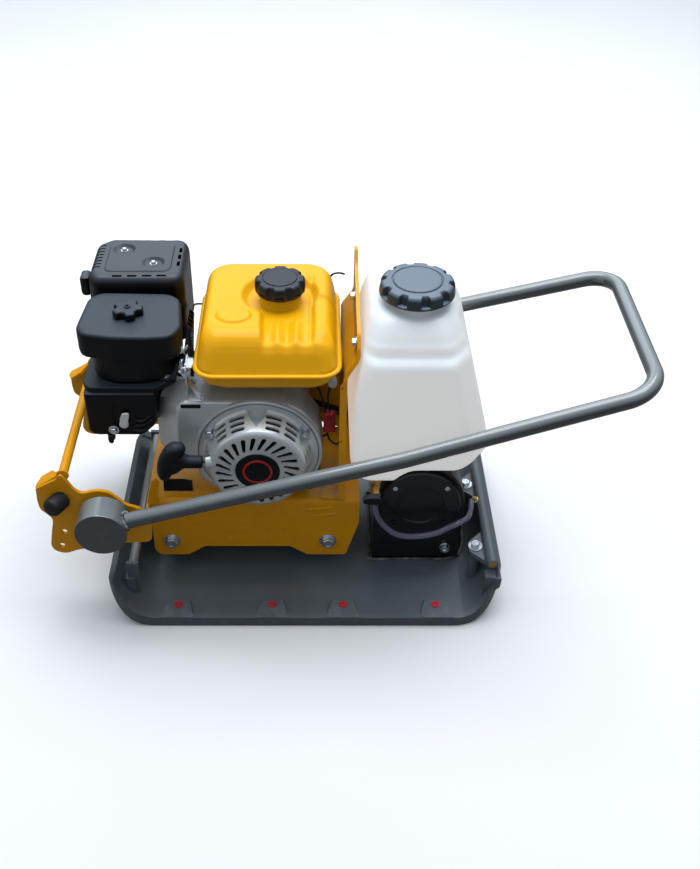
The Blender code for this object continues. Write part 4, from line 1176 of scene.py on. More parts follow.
plate_points = ((-238, -81.5, 167.5), (-190, -81.5, 167.5), (-190, -76.5, 186),
                (-204, -76.0, 189), (-238, -76.0, 189))
piece("crankcase_blank_plate", BLACK,
      [loft([[(x, y + t, z - t * 0.3) for x, y, z in plate_points] for t in (0, 2.5)])],
      bevel=0.5, segments=1)

# =============================================================================
# recoil starter
# =============================================================================
LUG_ANGLES = range(30, 360, 60)
ROPE_Y, ROPE_Z = ROPE = (-138.8, 280)


def lug_spot(degrees):
    return polar(CRANK, 86.0, math.radians(degrees))


# outer skin (radius, y), shared by the shell and its trimming body
crown = [(0, -150), (34.8, -150), (66, -149.4), (70.5, -148.2), (73.6, -145.6), (75.4, -142),
         (84.6, -111), (86.4, -107.6)]
dome = lathe("y", CRANK, crown + [
    (89, -105.6), (93.4, -105.2), (94.2, -104.2), (94.2, -99.4), (82.2, -99.4), (81.4, -111),
    (72.6, -141), (70.5, -144.4), (66, -146.6), (34, -147.2), (0, -147.2)], 144)
# pocket walls first, then the recesses are cut out of them
walls = [lathe("y", lug_spot(a), [(0, -149.0), (5.5, -146), (17.5, -106), (17.5, -103.2),
                                  (0, -103.2)], 40) for a in LUG_ANGLES]
trim = fuse([lathe("y", CRANK, crown + [(94.2, -104), (94.2, -99), (0, -99)], 144)])
shell = fuse([dome] + walls, common=[trim])
cut = [lathe("y", lug_spot(a), [(0, -156), (5, -152), (3.2, -147), (15.2, -106.2), (0, -106.2)],
             40) for a in LUG_ANGLES]
for i in range(24):
    # slanting slots in the face, wider at the outer end
    w = math.radians(i * 15.0 + 4)
    inner, outer = polar(CRANK, 43.5, w + math.radians(7.5)), polar(CRANK, 62.0, w)
    d = Vector((outer[0] - inner[0], outer[1] - inner[1])).normalized()
    a = math.atan2(d.y, d.x)
    pts = [polar(outer, 3.7, a - math.pi / 2 + math.pi * k / 8) for k in range(9)]
    pts += [polar(inner, 2.3, a + math.pi / 2 + math.pi * k / 6) for k in range(7)]
    cut.append(prism("y", pts, -156, -140))
for angle in (112, 135, 71, 48, 8, 172, 232, 252, 290, 312):
    # three slots one behind another in the sloping side
    for y, reach in ((-136.6, 8.8), (-126.4, 9.6), (-116.2, 10.2)):
        slot = oblong("z", (CRANK_X - reach, y), (CRANK_X + reach, y), 3.0, CRANK_Z + 70,
                      CRANK_Z + 100, 6)
        cut.append(rotate(slot, (CRANK_X, y, CRANK_Z), (0, 1, 0), 90 - angle))
cut.append(tube([(-175, *ROPE), (-130, *ROPE)], 4.0, 20))
spout = tube([(-157.5, *ROPE), (-146, -137.5, ROPE_Z)], [10.2, 12.0], 36)
piece("recoil_cover_pressing", SILVER, [shell, spout], cut=cut, replaces=["recoil_cover"], sharp=34)
loose("recoil_bolts", ZINC,
      hex_bolts([point("y", *lug_spot(a), -106.3) for a in (30, 150, 270)], NEAR, 6.0, 6.0, 8.6, 1.4))
# painted shade: a dark screen close behind the side slots, open at the bolt pockets and the rope, standing
# for the shade inside the cover
piece("recoil_shade_screen", PAINTED_SHADE_BLACK,
      [lathe("y", CRANK, [(69.0, -139.5), (70.9, -139.5), (79.2, -111.5), (77.3, -111.5)], 96)],
      cut=[lathe("y", lug_spot(a), [(0, -158), (7, -152), (20, -104), (0, -104)], 36)
           for a in LUG_ANGLES] + [tube([(-175, *ROPE), (-130, *ROPE)], 5.0, 20)], sharp=50)
piece("recoil_centre_disc", BLACK,
      [lathe("y", CRANK, [(0, -152.0), (33.0, -151.6), (34.6, -151.0), (34.9, -150.05),
                          (0, -150.05)], 96)], sharp=50)
piece("recoil_centre_ring", RED,
      [lathe("y", CRANK, [(19.5, -151.5), (19.9, -152.35), (23.1, -152.3), (23.5, -151.5)], 96)],
      slot="black_plastic", sharp=50)

# dark reel and fan seen through the slots
spokes = []
for i in range(8):
    w = 2 * math.pi * i / 8
    corners = [polar(CRANK, r, w + a) for r, a in ((20, -0.1), (54, -0.05), (54, 0.05), (20, 0.1))]
    spokes.append(prism("y", round_corners(corners, 1), -136.8, -135))
reel = lathe("y", CRANK, [(0, -136), (57, -136), (58, -135.4), (58, -133), (52, -131), (52, -117),
                          (58, -115), (58, -113.2), (0, -113.2)], 72)
piece("starter_reel_disc", BLACK, [reel] + spokes, body="recoil_reel",
      replaces=["starter_reel"], sharp=40)
add = [lathe("y", CRANK, [(14.3, -60), (78, -60), (78, -66), (60, -70), (60, -80), (14.3, -84)], 72)]
for i in range(18):
    # curved blade, 0.9 to each side of its centre line
    w = 2 * math.pi * i / 18
    line = [polar(CRANK, r, w + lag) for r, lag in ((42, 0.0), (55, 0.05), (68, 0.14), (79, 0.26))]
    side_x, side_z = 0.9 * math.cos(w + 1.57), 0.9 * math.sin(w + 1.57)
    pts = [(x + side_x, z + side_z) for x, z in line]
    pts += [(x - side_x, z - side_z) for x, z in reversed(line)]
    add.append(prism("y", pts, -91, -62))
piece("flywheel_with_fan", ALUMINIUM, add, body="crank", replaces=["flywheel_fan"], sharp=40)

# grip: neck and T bulb melted into one moulding, with the rope behind it
bulb = tube(spline([(-196, -137.6, 306), (-206, -137.4, 300), (-215, -137.2, 286),
                    (-221, -137.2, 268), (-223.5, -137.4, 252)], 5),
            [11.5, 12.6, 13.4, 13.9, 14.1] + [14.2] * 8
            + [14.0, 13.8, 13.5, 13.2, 12.8, 12.2, 11.5, 10.5], 32, round_end=9)
neck = lathe("x", ROPE, [(0, -215), (10.8, -215), (10.8, -196), (10.4, -186), (10.2, -163),
                         (9.2, -162), (0, -162)], 40)
flare = stack("x", [(ellipse((-138, 282), ry, rz, 32), x) for x, ry, rz in (
    (-184, 9.5, 9.5), (-192, 10.8, 14), (-200, 11.6, 22), (-208, 11.6, 28), (-216, 9.0, 26))])
piece("starter_grip_moulding", BLACK, [bulb, neck, flare], body="pull_grip",
      replaces=["starter_grip"], voxel=1.3, relax=8, sharp=60)
loose("starter_rope", WIRE, [tube([(-168 + i * 4, *ROPE) for i in range(34)],
                                  [1.75 + 0.12 * (i % 2) for i in range(34)], 12)], body="pull_grip")

# =============================================================================
# fuel tank: pressed upper half, rolled rim, lower half
# =============================================================================
TANK_X0, TANK_X1, TANK_Y0, TANK_Y1 = -171.5, 53.0, -121.5, 134.0
SEAM_Z = 426


def tank_relief(x, y):
    """How far the top pressing lies below its crown at a point."""
    # lower field to the front of the filler, bounded by a step and a bead
    step_x = -68.0 + 2.0 * ease(-20, -90, y)
    beyond_step = ease(step_x - 5.0, step_x + 4.0, x)
    near = 1 - ease(22.0, 34.0, y)
    strip = ease(5.5, 13.0, x)
    low = 12.5 * beyond_step * near * (1 - 0.55 * strip)
    # round field about the filler neck
    cup = 12.0 * (1 - ease(50.0, 63.0, math.hypot(x + 41.5, y - 32.0)))
    depth = max(low, cup)
    # groove along the front side
    groove = math.exp(-((x - 7.5) / 4.6) ** 2) * ease(-84, -72, y) * (1 - ease(80, 92, y))
    depth += 3.8 * groove
    # two short ribs that run out to the near edge
    for rib_x in (-43.4, -15.6):
        r = math.hypot(x - rib_x, max(0.0, y + 36.5))
        rib = math.exp(-(r / 6.4) ** 2)
        ditch = math.exp(-((r - 12.5) / 4.2) ** 2)
        depth += (-5.6 * rib + 1.2 * ditch) * (1 - ease(-33, -24, y))
    # oval embossing towards the rear
    e = math.hypot((x + 111.0) / 28.5, (y + 30.0) / 24.0)
    depth += -2.6 * (1 - ease(0.80, 1.0, e)) + 1.5 * math.exp(-((e - 1.03) / 0.09) ** 2)
    return depth


sections = [(round_rect(TANK_X0 + i, TANK_X1 - i, TANK_Y0 + i, TANK_Y1 - i, 30, 14), z)
            for z, i in ((404, 12), (415, 8.2), (SEAM_Z, 7.6))]
for z, i in ((430, 8.6), (436, 10.2), (446, 12.8), (456, 15.6), (464, 18.6), (470, 22.0),
             (474.5, 26.0), (477.6, 31.0), (479.4, 37.0), (480, 44.0)):
    rise = z - SEAM_Z
    near_inset = i + rise * 0.27
    sections.append((round_rect(TANK_X0 + i * 0.62, TANK_X1 - i * 0.72, TANK_Y0 + near_inset,
                                TANK_Y1 - i * 0.29, 27 + rise * 0.06, 14), z))
upper = piece("fuel_tank_upper", TANK_YELLOW, [stack("z", sections)], voxel=1.45, relax=3,
              replaces=["fuel_tank"])
for v in upper.data.vertices:
    x, y, z = v.co.x * 1000, v.co.y * 1000, v.co.z * 1000
    if z > 440:
        # the relief eases off down the walls and towards the near edge
        fade = ease(450, 474, z)
        v.co.z -= tank_relief(x, y) * MM * fade * (0.35 + 0.65 * ease(-92, -76, y))
soften(upper)
loop = round_rect(TANK_X0 + 4.2, TANK_X1 - 4.2, TANK_Y0 + 4.2, TANK_Y1 - 4.2, 30, 16)
roll = [(3.9 * math.cos(w) * 1.08, 3.3 * math.sin(w))
        for w in [2 * math.pi * i / 14 for i in range(14)]]
piece("fuel_tank_rim", TANK_YELLOW, [flat_loop_sweep(level("z", loop, 426.5), roll)], sharp=70)
sections = []
for z, i in ((394.2, 26), (395.2, 22), (397.6, 17.5), (401, 14), (406, 11), (414, 8.6), (424, 7.2)):
    low = 1 - ease(394, 424, z)
    sections.append((round_rect(TANK_X0 + i + 8 * low, TANK_X1 - i - 1 * low, TANK_Y0 + i,
                                TANK_Y1 - i, 34 - i * 0.2, 14), z))
piece("fuel_tank_lower", TANK_YELLOW, [stack("z", sections)], sharp=60)
piece("fuel_neck", TANK_YELLOW,
      [lathe("z", FUEL_FILLER, [(0, 462), (34.5, 462), (33.4, 470), (31.5, 473), (30.6, 478),
                                (30.6, 484.5), (29.5, 486), (0, 486)], 72)], sharp=50)

# fuel cap: scalloped, raised disc inside a groove, slots round the skirt
cap_x, cap_y = FUEL_FILLER
skirt = scalloped(FUEL_FILLER, (
    (37.6, 0.8, 487.2), (38.6, 1.0, 488.2), (39.4, 2.0, 494), (39.4, 4.2, 501), (38.6, 4.6, 505.5),
    (36.6, 4.0, 508.0), (34.0, 3.0, 509.0), (29, 0.4, 509.6)), count=8, low=0.204, high=0.459)
slot = oblong("y", (cap_x - 5.5, 494), (cap_x + 5.5, 494), 1.5, cap_y - 46, cap_y - 36.2, 8)
piece("fuel_cap_moulding", CAP_GREY,
      [skirt, lathe("z", FUEL_FILLER, [(0, 505), (27.2, 505), (26.8, 510.0), (25.0, 510.8),
                                       (10, 511.2), (0, 511.2)], 96)],
      cut=[lathe("z", FUEL_FILLER, [(26.2, 508.2), (27.6, 508.2), (27.6, 514), (26.2, 514)], 96)]
      + [rotate(slot, (cap_x, cap_y, 494), UP, i * 45) for i in range(8)],
      body="fuel_filler_cap", replaces=["fuel_cap"], sharp=44)

# =============================================================================
# air filter
# =============================================================================
outline = round_corners(
    [(-198, 34), (-339, 39), (-346.5, -58), (-338, -80), (-290, -90.5), (-240, -92), (-198, -88),
     (-187.5, -58)], [30, 30, 26, 22, 40, 40, 24, 26], 8)
lid = loft(insets("z", outline, (
    (7, 436.0), (5.0, 436.0), (2.0, 436.4), (0.5, 438.2), (0, 441), (0, 470), (0.5, 473.4),
    (1.7, 476.4), (3.8, 478.2), (6.6, 479.0), (12, 479.2))))
piece("air_filter_lid", BLACK, [lid], cut=[disc("z", FILTER_KNOB, 8, 472, 484, 40)],
      replaces=["air_filter_cover"], sharp=50)

# five-lobed knob
star = []
for i in range(150):
    w = 2 * math.pi * i / 150 + 0.45
    u = (w * 5 / (2 * math.pi)) % 1.0
    star.append((w, 23.6 - 6.2 * (1 - ease(0.18, 0.62, abs(u - 0.5) * 2))))
knob = stack("z", [([polar(FILTER_KNOB, r - off, w) for w, r in star], z) for z, off in (
    (479.7, 1.0), (480.4, 0), (488.6, 0), (490.6, 0.8), (491.8, 2.4), (492.2, 5))])
piece("filter_wing_knob", BLACK,
      [knob, disc("z", FILTER_KNOB, 6, 474, 482, 40),
       lathe("z", FILTER_KNOB, [(0, 486), (5.2, 486), (5.0, 493.6), (4.2, 494.4), (0, 494.4)], 32)],
      cut=[disc("z", FILTER_KNOB, 2.6, 491.4, 496, 24)], body="filter_nut",
      replaces=["filter_knob"], sharp=40)

# bowl under the lid, base flange and its ear
outline = round_corners([(-205, 30), (-331, 30), (-334, -40), (-322, -68), (-290, -80), (-250, -80),
                         (-218, -70), (-203, -40)], [34, 34, 40, 36, 44, 44, 36, 40], 8)
bowl = loft(insets("z", outline, ((6, 382.6), (3.4, 385.5), (1.4, 392), (0.4, 404), (-1.2, 438))))
outline = round_corners([(-203, 33), (-344, 33), (-346, -72), (-334, -85.5), (-232, -85.5),
                         (-203, -60)], [14, 14, 16, 14, 10, 12], 8)
flange = loft(insets("z", outline, ((1.5, 374.2), (0.4, 375.2), (0, 381), (0.8, 382.6),
                                    (2.2, 383.2))))
EAR = (-219, -58)
ear = lathe("z", EAR, [(0, 377), (11.5, 377), (11.5, 386), (10.4, 387.2), (8.0, 387.4),
                       (7.6, 386.2), (0, 386.2)], 48)
piece("air_filter_bowl", BLACK, [flange, bowl, ear], replaces=["air_filter_base"], sharp=42)
loose("filter_base_bolt", ZINC, [hex_bolt((*EAR, 386.3), UP, 4.6, 3.6, 6.6, 1.1)])

# =============================================================================
# carburettor, its cover and levers
# =============================================================================
CHOKE = (-286, 318)
outline = round_corners([(-344.5, 373.6), (-344.5, 298), (-332, 290.5), (-258, 290.5), (-236, 313),
                         (-233.5, 340), (-233.5, 373.6)], [4, 12, 14, 14, 16, 10, 4], 6)
cover = loft(insets("y", outline, ((0, -50), (0, -80), (0.7, -84.4), (2.6, -87.2), (5.2, -88.2))))
hollow = fuse([loft(insets("y", outline, ((3, -40), (3, -79), (5.5, -84))))])
piece("carburettor_shell", BLACK, [cover],
      cut=[hollow, prism("y", round_rect(-303, -262, 308, 352, 3, 5), -92, -86.2),
           cylinder("y", CHOKE, 4.4, -100, -60, 24)],
      replaces=["carburettor_cover"], bevel=0.5, sharp=42)
ribs = []
for x0, z0, x1, z1 in ((-268, 312, -243, 322), (-265, 321, -246, 330), (-272, 303, -246, 310)):
    middle = ((x0 + x1) / 2, -90.2, (z0 + z1) / 2 - 3)
    ribs.append(tube(spline([(x0, -88.6, z0), middle, (x1, -88.6, z1)], 6), 1.7, 14, round_end=1.7))
loose("carburettor_cover_ribs", BLACK, ribs)
loose("cover_wing_bolt", ZINC, [hex_bolt((-303.9, -88.5, 303.5), NEAR, 6.0, 4.5, 8.4, 1.2)])
piece("carburettor_body", ALUMINIUM,
      [round_box(-312, -262, -44, -23, [(286, 1), (287, 0), (339, 0), (340, 1)], 6, 4),
       cylinder("z", (-287, -33), 15, 272, 290, 40), cylinder("z", (-287, -33), 13, 335, 373.7, 36),
       cylinder("x", (-33, 318), 8, -326, -310, 28), box(-264, -246, -44, -20.6, 294, 334)],
      replaces=["carburettor"], bevel=0.8, sharp=40)
blade = round_corners([(-290.5, 316), (-281.5, 316), (-276.0, 336), (-278, 340), (-287, 338.5),
                       (-291, 330)], 2.0)
piece("choke_lever_arm", WHITE_LEVER,
      [lathe("y", CHOKE, [(0, -72), (3.9, -72), (3.9, -90.5), (6.8, -90.5), (7.2, -91.2),
                          (7.2, -94), (6.6, -94.8), (0, -94.8)], 40),
       prism("y", blade, -96.4, -91.2)], body="choke", replaces=["choke_lever"], bevel=0.7)
piece("fuel_cock_tab", BLACK, [box(-315.5, -304.5, -88.3, -80, 282.5, 297)], bevel=1.2)
blade = round_corners([(-314, 290.5), (-306, 290.5), (-305.5, 283), (-308.5, 280.5),
                       (-313, 282.5)], 2.0)
piece("fuel_cock_lever", BLACK,
      [lathe("y", (-310, 288), [(0, -92.5), (4.6, -92.5), (5, -92), (5, -88.6), (0, -88.6)], 32),
       prism("y", blade, -95.0, -92.2)],
      body="fuel_valve", replaces=["fuel_valve_lever"], bevel=0.6)
path = spline([(-238, 2, 352), (-226, 4, 366), (-216, 20, 380), (-210, 26, 392)], 8)
loose("breather_hose", RUBBER, [tube(path, 6.0, 20)])
path = spline([(-262, -40, 300), (-250, -42, 292), (-244, -38, 300), (-238, -20, 330),
               (-206, -14, 384), (-186, -16, 398), (-160, -18, 400)], 8)
loose("fuel_hose", RUBBER, [tube(path, 4.2, 18)])

# =============================================================================
# muffler and guard
# =============================================================================
GUARD_SCREWS = ((-297, 138.5), (-245.2, 96.5))
outline = round_corners([(-193.5, 46), (-194.5, 179.5), (-322, 180.5), (-346, 160), (-346, 62),
                         (-334, 46)], [22, 20, 20, 22, 18, 14], 8)
outside = loft(insets("z", outline, ((0, 380.3), (0, 478), (0.8, 485), (2.8, 490.6), (6.2, 494.6),
                                     (11, 496.6), (18, 497))))
cut = [loft(insets("z", outline, ((2.4, 370), (2.4, 478), (4.6, 488), (12, 493.6), (18, 494))))]
for i in range(4):
    # slots along the near and the far edge
    x, y = -298 + 23.2 * i, 56.3 + 0.3 * i
    cut.append(oblong("z", (x - 6.0, y), (x + 6.0, y), 1.9, 484, 500, 6))
    cut.append(oblong("z", (x - 6.4, 172.4), (x + 6.4, 172.4), 1.9, 480, 500, 6))
for y in (137, 115.5, 94):
    # slots along the front edge
    cut.append(oblong("z", (-205.4, y - 5.0), (-205.4, y + 5.0), 2.4, 480, 500, 6))
for i in range(8):
    # slits across the rear shoulder
    y = 84 + 9.6 * i
    cut.append(rotate(box(-352, -327, y - 1.6, y + 1.6, 484.5, 499), (-338, y, 492), (0, 1, 0), -24))
cut.append(box(-352, -340, 78.4, 95.6, 460.4, 475.6))
for spot in GUARD_SCREWS:
    cut.append(stack("z", [(ellipse(spot, rx, ry, 48), z) for rx, ry, z in (
        (10, 9, 494.75), (13, 12, 495.0), (18.6, 16.4, 498.6), (19.2, 17.0, 500))]))
field = round_corners([(-214, 66), (-214, 158), (-322, 158), (-322, 66)], [16, 12, 12, 12], 8)
piece("muffler_guard_pressing", GUARD_BLACK,
      [outside, stack("z", ((field, 496.0), (inset(field, 3.0), 498.4)))], cut=cut,
      replaces=["muffler_guard"], bevel=0.35, segments=1, sharp=40)
piece("exhaust_outlet_box", GUARD_BLACK,
      [round_box(-362.5, -346.3, 73, 101, [(448, 4), (450, 1.2), (454, 0), (478, 0), (481, 1.2),
                                           (482.6, 4)], 6, 6)],
      cut=[box(-366, -348, 79, 95, 460.5, 475)], bevel=0.6)
loose("guard_screws", ZINC,
      [lathe("z", spot, [(0, 494.6), (6.2, 494.6), (6.4, 495.2), (6.0, 495.9), (3.9, 496.0),
                         (3.9, 498.6), (3.2, 499.6), (0, 499.8)], 36) for spot in GUARD_SCREWS])
piece("muffler_box", BLACK_METAL,
      [round_box(-330, -212, 60, 152, [(386, 6), (388, 2.5), (392, 0), (428, 0), (429, -2.2),
                                       (433, -2.2), (434, 0), (470, 0), (474, 1.5), (478, 6)], 20, 8),
       cylinder("z", (-245, 66), 10.5, 336.4, 400, 32)], replaces=["muffler"], sharp=40)

# =============================================================================
# throttle control between filter and tank
# =============================================================================
THROTTLE = (-80, 415)  # (y, z)
plate = round_corners([(-99, 377), (-60, 377), (-52, 392), (-52, 428), (-64, 431), (-90, 431),
                       (-99, 424)], 4)
tab = round_corners([(-181.5, -98), (-181.5, -72), (-172.0, -72), (-170.6, -84), (-172.6, -98)], 2)
piece("control_bracket", ZINC,
      [prism("x", plate, -183, -180.6), box(-183, -172, -72, -58, 377.5, 380),
       prism("z", tab, 427.5, 430)],
      cut=[cylinder("x", THROTTLE, 4.2, -190, -170, 28),
           oblong("x", (-92, 392), (-70, 392), 3.0, -190, -176)],
      replaces=["control_plate"], bevel=0.5)
arm = round_corners([(-84, 412), (-76, 412), (-75.5, 429), (-80, 434), (-84.5, 429)], 3)
piece("throttle_arm", ZINC,
      [lathe("x", THROTTLE, [(0, -190), (7.6, -190), (8, -189.6), (8, -187), (7.6, -186.6),
                             (3.9, -186.6), (3.9, -177), (0, -177)], 36),
       prism("x", arm, -189.6, -187.2)],
      body="throttle", replaces=["throttle_lever"], bevel=0.3, segments=1)
strip = sweep(spline([(-193, -82, 414), (-186, -86, 408), (-174, -94, 392), (-162, -101, 377)], 6),
              [(-3.2, -0.8), (3.2, -0.8), (3.2, 0.8), (-3.2, 0.8)], up=(0.4, -0.6, 0.7))
hook = spline([(-162, -101, 377), (-158.5, -103, 376), (-156, -103.5, 380), (-157, -103, 384)], 5)
loose("governor_link", ZINC, [strip, tube(hook, 1.3, 10, round_end=1.0)], sharp=50)
coil = []
for i in range(90):
    w = i * 0.62
    coil.append((-190 + i * 0.10, -66 + 2.6 * math.cos(w) + i * 0.18, 436 + 2.6 * math.sin(w)))
loose("governor_spring", ZINC,
      [tube(coil, 0.55, 8, round_end=0.4),
       tube([(-190, -63.6, 436), (-185, -64, 432), (-182.6, -66, 427)], 0.6, 8),
       disc("x", (-62, 440), 3.6, -191, -188, 24)], sharp=70)
fins = []
for i in range(5):
    y = -30 + i * 11
    section = [(-198 + 0.2 * i, 368), (-183, 368), (-176, 455), (-183, 462)]
    fins.append(prism("y", section, y, y + 2.2))
loose("heat_shield_fins", BLACK_METAL, fins, bevel=0.4, segments=1)
piece("heat_shield_plate", BLACK_METAL, [box(-199, -178, -34, 20, 366.4, 368.6)], bevel=0.6)

# =============================================================================
# water tank, cap, bracket
# =============================================================================
# z, rear x, front x, near y, far y, corner radius, chamfer of the front near corner
WATER_TANK = (
    (217.6, 94, 250, -104, 100, 12, 20), (218.6, 86, 252, -112, 107, 18, 22),
    (222, 81, 254, -117, 111, 22, 24), (228, 75.5, 256, -120, 114, 24, 26),
    (238, 71.5, 258, -121.4, 115, 24, 26), (245, 69.6, 262, -121.4, 115, 25, 26),
    (249, 69.0, 273, -121.8, 115.5, 25, 28), (254, 68.6, 281, -122, 116, 25, 30),
    (261, 68.0, 287, -122, 116, 25, 30), (270, 68.0, 289.6, -122, 116, 25, 30),
    (300, 68.4, 283.5, -122, 116, 26, 30), (330, 70.0, 276, -122, 116, 26, 30),
    (384, 74.0, 262.4, -121.8, 114.5, 27, 29), (420, 79.5, 253.2, -121.4, 113, 27, 28),
    (432, 82.6, 250, -121, 112, 27, 28), (439, 83.4, 248, -119.4, 111.4, 28, 27),
    (444.5, 84, 246.4, -116, 110.6, 28, 26), (448.5, 84.6, 244.6, -110, 109.8, 28, 25),
    (451, 85, 243.4, -105, 109.2, 29, 25), (455, 85.6, 242, -102.6, 108.4, 30, 25),
    (462, 86.8, 239.4, -101.4, 106.6, 31, 25), (466, 87.6, 237.8, -99.4, 105.4, 32, 25),
    (470, 88.6, 236.4, -95.4, 104.2, 33, 25), (480, 91, 232.6, -88.4, 101, 34, 24),
    (490, 94, 228, -79.5, 96.5, 34, 23), (496, 98, 222, -72, 91.5, 33, 21),
    (499.2, 104, 214, -64, 85, 31, 19), (500.2, 112, 205, -56, 77, 28, 16))
sections = []
for z, x0, x1, y0, y1, r, chamfer in WATER_TANK:
    corners = [(x0, y0), (x1 - chamfer, y0), (x1, y0 + chamfer * 1.35), (x1, y1), (x0, y1)]
    sections.append((round_corners(corners, [r, 20, 26, r, r], 10), z))
neck = lathe("z", WATER_FILLER, [(0, 480), (50, 480), (47, 498), (44, 502.5), (41.5, 503.6),
                                 (40.5, 505), (40.5, 511.5), (39.6, 512.4), (0, 512.4)], 72)
undercut = round_corners([(132, 205), (138, 220), (146, 231), (156, 240), (166, 244.5), (178, 246),
                          (310, 246), (325, 205)], [0, 14, 30, 40, 30, 20, 0, 0], 8)
body = fuse([stack("z", sections), neck], cut=[prism("y", undercut, -140, 140)])
tank = piece("water_tank_blown", WHITE, [body], replaces=["water_tank"], voxel=2.2, relax=3)
# slight unevenness of the blown wall: up to 0.8 mm along the normals
WOBBLE, WOBBLE_SCALE = 0.8, 9
places = [(v.co.copy(), v.normal.copy()) for v in tank.data.vertices]
flat = []
for p, n in places:
    flat.extend(p + n * (noise.noise(p * WOBBLE_SCALE) * WOBBLE * MM))
tank.data.vertices.foreach_set("co", flat)
tank.data.update()
soften(tank)

cap = scalloped(WATER_FILLER, (
    (54.0, 0, 513.0), (56.4, 0, 513.0), (57.4, 0, 514.4), (57.5, 0, 516.4), (57.2, 0.8, 517.4),
    (57.0, 6.0, 518.0), (56.2, 6.4, 527.0), (54.8, 6.0, 530.4), (52.4, 5.0, 532.4), (50, 3.4, 533.4),
    (46, 0.4, 534.0), (40.4, 0, 534.4), (39.4, 0, 534.2), (38.8, 0, 533.0), (37.6, 0, 533.0),
    (37.0, 0, 534.4), (35.4, 0, 535.6), (32, 0, 536.1), (20, 0, 536.4), (6, 0, 536.4)),
    count=10, low=0.28, high=0.40, phase=0.16)
piece("water_cap_moulding", WATER_CAP_GREY, [cap], body="water_filler_cap",
      replaces=["water_cap"], sharp=50)

# bent bracket plate behind the tank: upright below, joggled forward above
outline = round_corners([(-99, 164.4), (-99, 400), (-84, 452), (-70, 471), (84, 500), (100, 520),
                         (113, 520), (113, 164.4)], [0, 30, 20, 14, 20, 9, 9, 0], 8)
section = [(55.5, 164.4), (55.5, 407), (58.4, 414.5), (73, 436), (75.5, 443), (75.5, 530),
           (81, 530), (81, 441), (78.4, 433), (63.6, 411.5), (61, 405), (61, 164.4)]
# its material paints shade on the faces that look to the rear
piece("tank_bracket_plate", YELLOW_SHADED_WEB, [prism("y", section, -99, 113)],
      cut=[cylinder("x", c, 3.4, 50, 90, 20) for c in ((-82, 392), (-82, 288), (40, 392))],
      common=[prism("x", outline, 50, 90)], replaces=["tank_bracket"], bevel=0.9, sharp=40)
edge = [(50.4, 164.5), (61.6, 164.5), (61.6, 406), (60.4, 409), (50.4, 394)]
piece("tank_bracket_edge", YELLOW,
      [prism("y", edge, -99.8, -96.2), box(24, 60.2, -98.4, -60, 164.45, 168.6)],
      cut=[cylinder("y", (54, z), 2.2, -101, -94, 16) for z in (392, 288)], bevel=0.7)
loose("tank_bracket_nuts", ZINC,
      hex_bolts(((75.4, -60, 450), (75.4, 46, 466)), REAR, 7.0, 6.0, 9.6, 1.4))

# =============================================================================
# tap, hose, spray bar
# =============================================================================
piece("tap_body", BRASS,
      [prism("z", circle((TAP_X, -106), 9.0, 6, 0.3), 196, 212),
       lathe("z", (TAP_X, -106), [(0, 186), (6.8, 186), (8, 188), (8, 196), (6.6, 197),
                                  (6.6, 216.6), (0, 216.6)], 36),
       lathe("y", TAP, [(0, -128), (6.0, -128), (7, -127), (7, -104), (0, -104)], 36),
       lathe("z", (TAP_X, -124), [(0, 176), (2.6, 176), (4.0, 179), (3.2, 180), (4.6, 183),
                                  (3.4, 184), (4.8, 188), (4.8, 202), (0, 202)], 32)],
      replaces=["water_tap"], bevel=0.4, segments=1, sharp=40)
lever = [(TAP_X + a, TAP_Z + b) for a, b in round_corners(
    [(-21, -4), (-22, 3), (-12, 6.5), (0, 7.6), (4, 3), (4, -6), (-10, -6.5)], 3, 5)]
piece("tap_handle", BLACK,
      [lathe("y", TAP, [(0, -141.5), (6.5, -141.5), (7.6, -140.4), (7.6, -131.5), (6.8, -130.7),
                        (0, -130.7)], 40),
       stack("y", [(lever, y) for y in (-141, -139.6, -133.4, -132)])],
      body="water_valve", replaces=["tap_lever"], bevel=0.6)
path = spline([
    (111, -124, 180.5), (110.8, -124.6, 166), (117.6, -125, 144), (131.6, -125, 123.4),
    (148.7, -125, 109.6), (172.3, -125, 104.9), (195.4, -125, 107.3), (217, -122, 111.3),
    (238, -114, 117), (256, -104, 118), (270, -88, 113), (277.5, -66, 106), (281.5, -48, 101),
    (283.0, -36, 100), (283.6, -31, 101)], 10)
piece("water_hose_tube", CLEAR, [pipe(path, 4.7, 3.1)], replaces=["water_hose"], sharp=80,
      weighted=False)
elbow = fuse([lathe("x", (-23, 92), [(0, 296), (7.4, 296), (7.4, 287), (5, 286), (0, 286)], 36),
              tube([(291, -23, 92), (290, -27, 99)], 5.4, 24),
              prism("x", circle((-23, 92), 8.0, 6, 0.4), 287.4, 292.5),
              tube([(290.5, -25.5, 97.5), (286.5, -29.5, 101)], [5.0, 3.0], 24)])
piece("spray_elbow", BRASS, [elbow], replaces=["hose_barb"], bevel=0.4, segments=1, sharp=44)

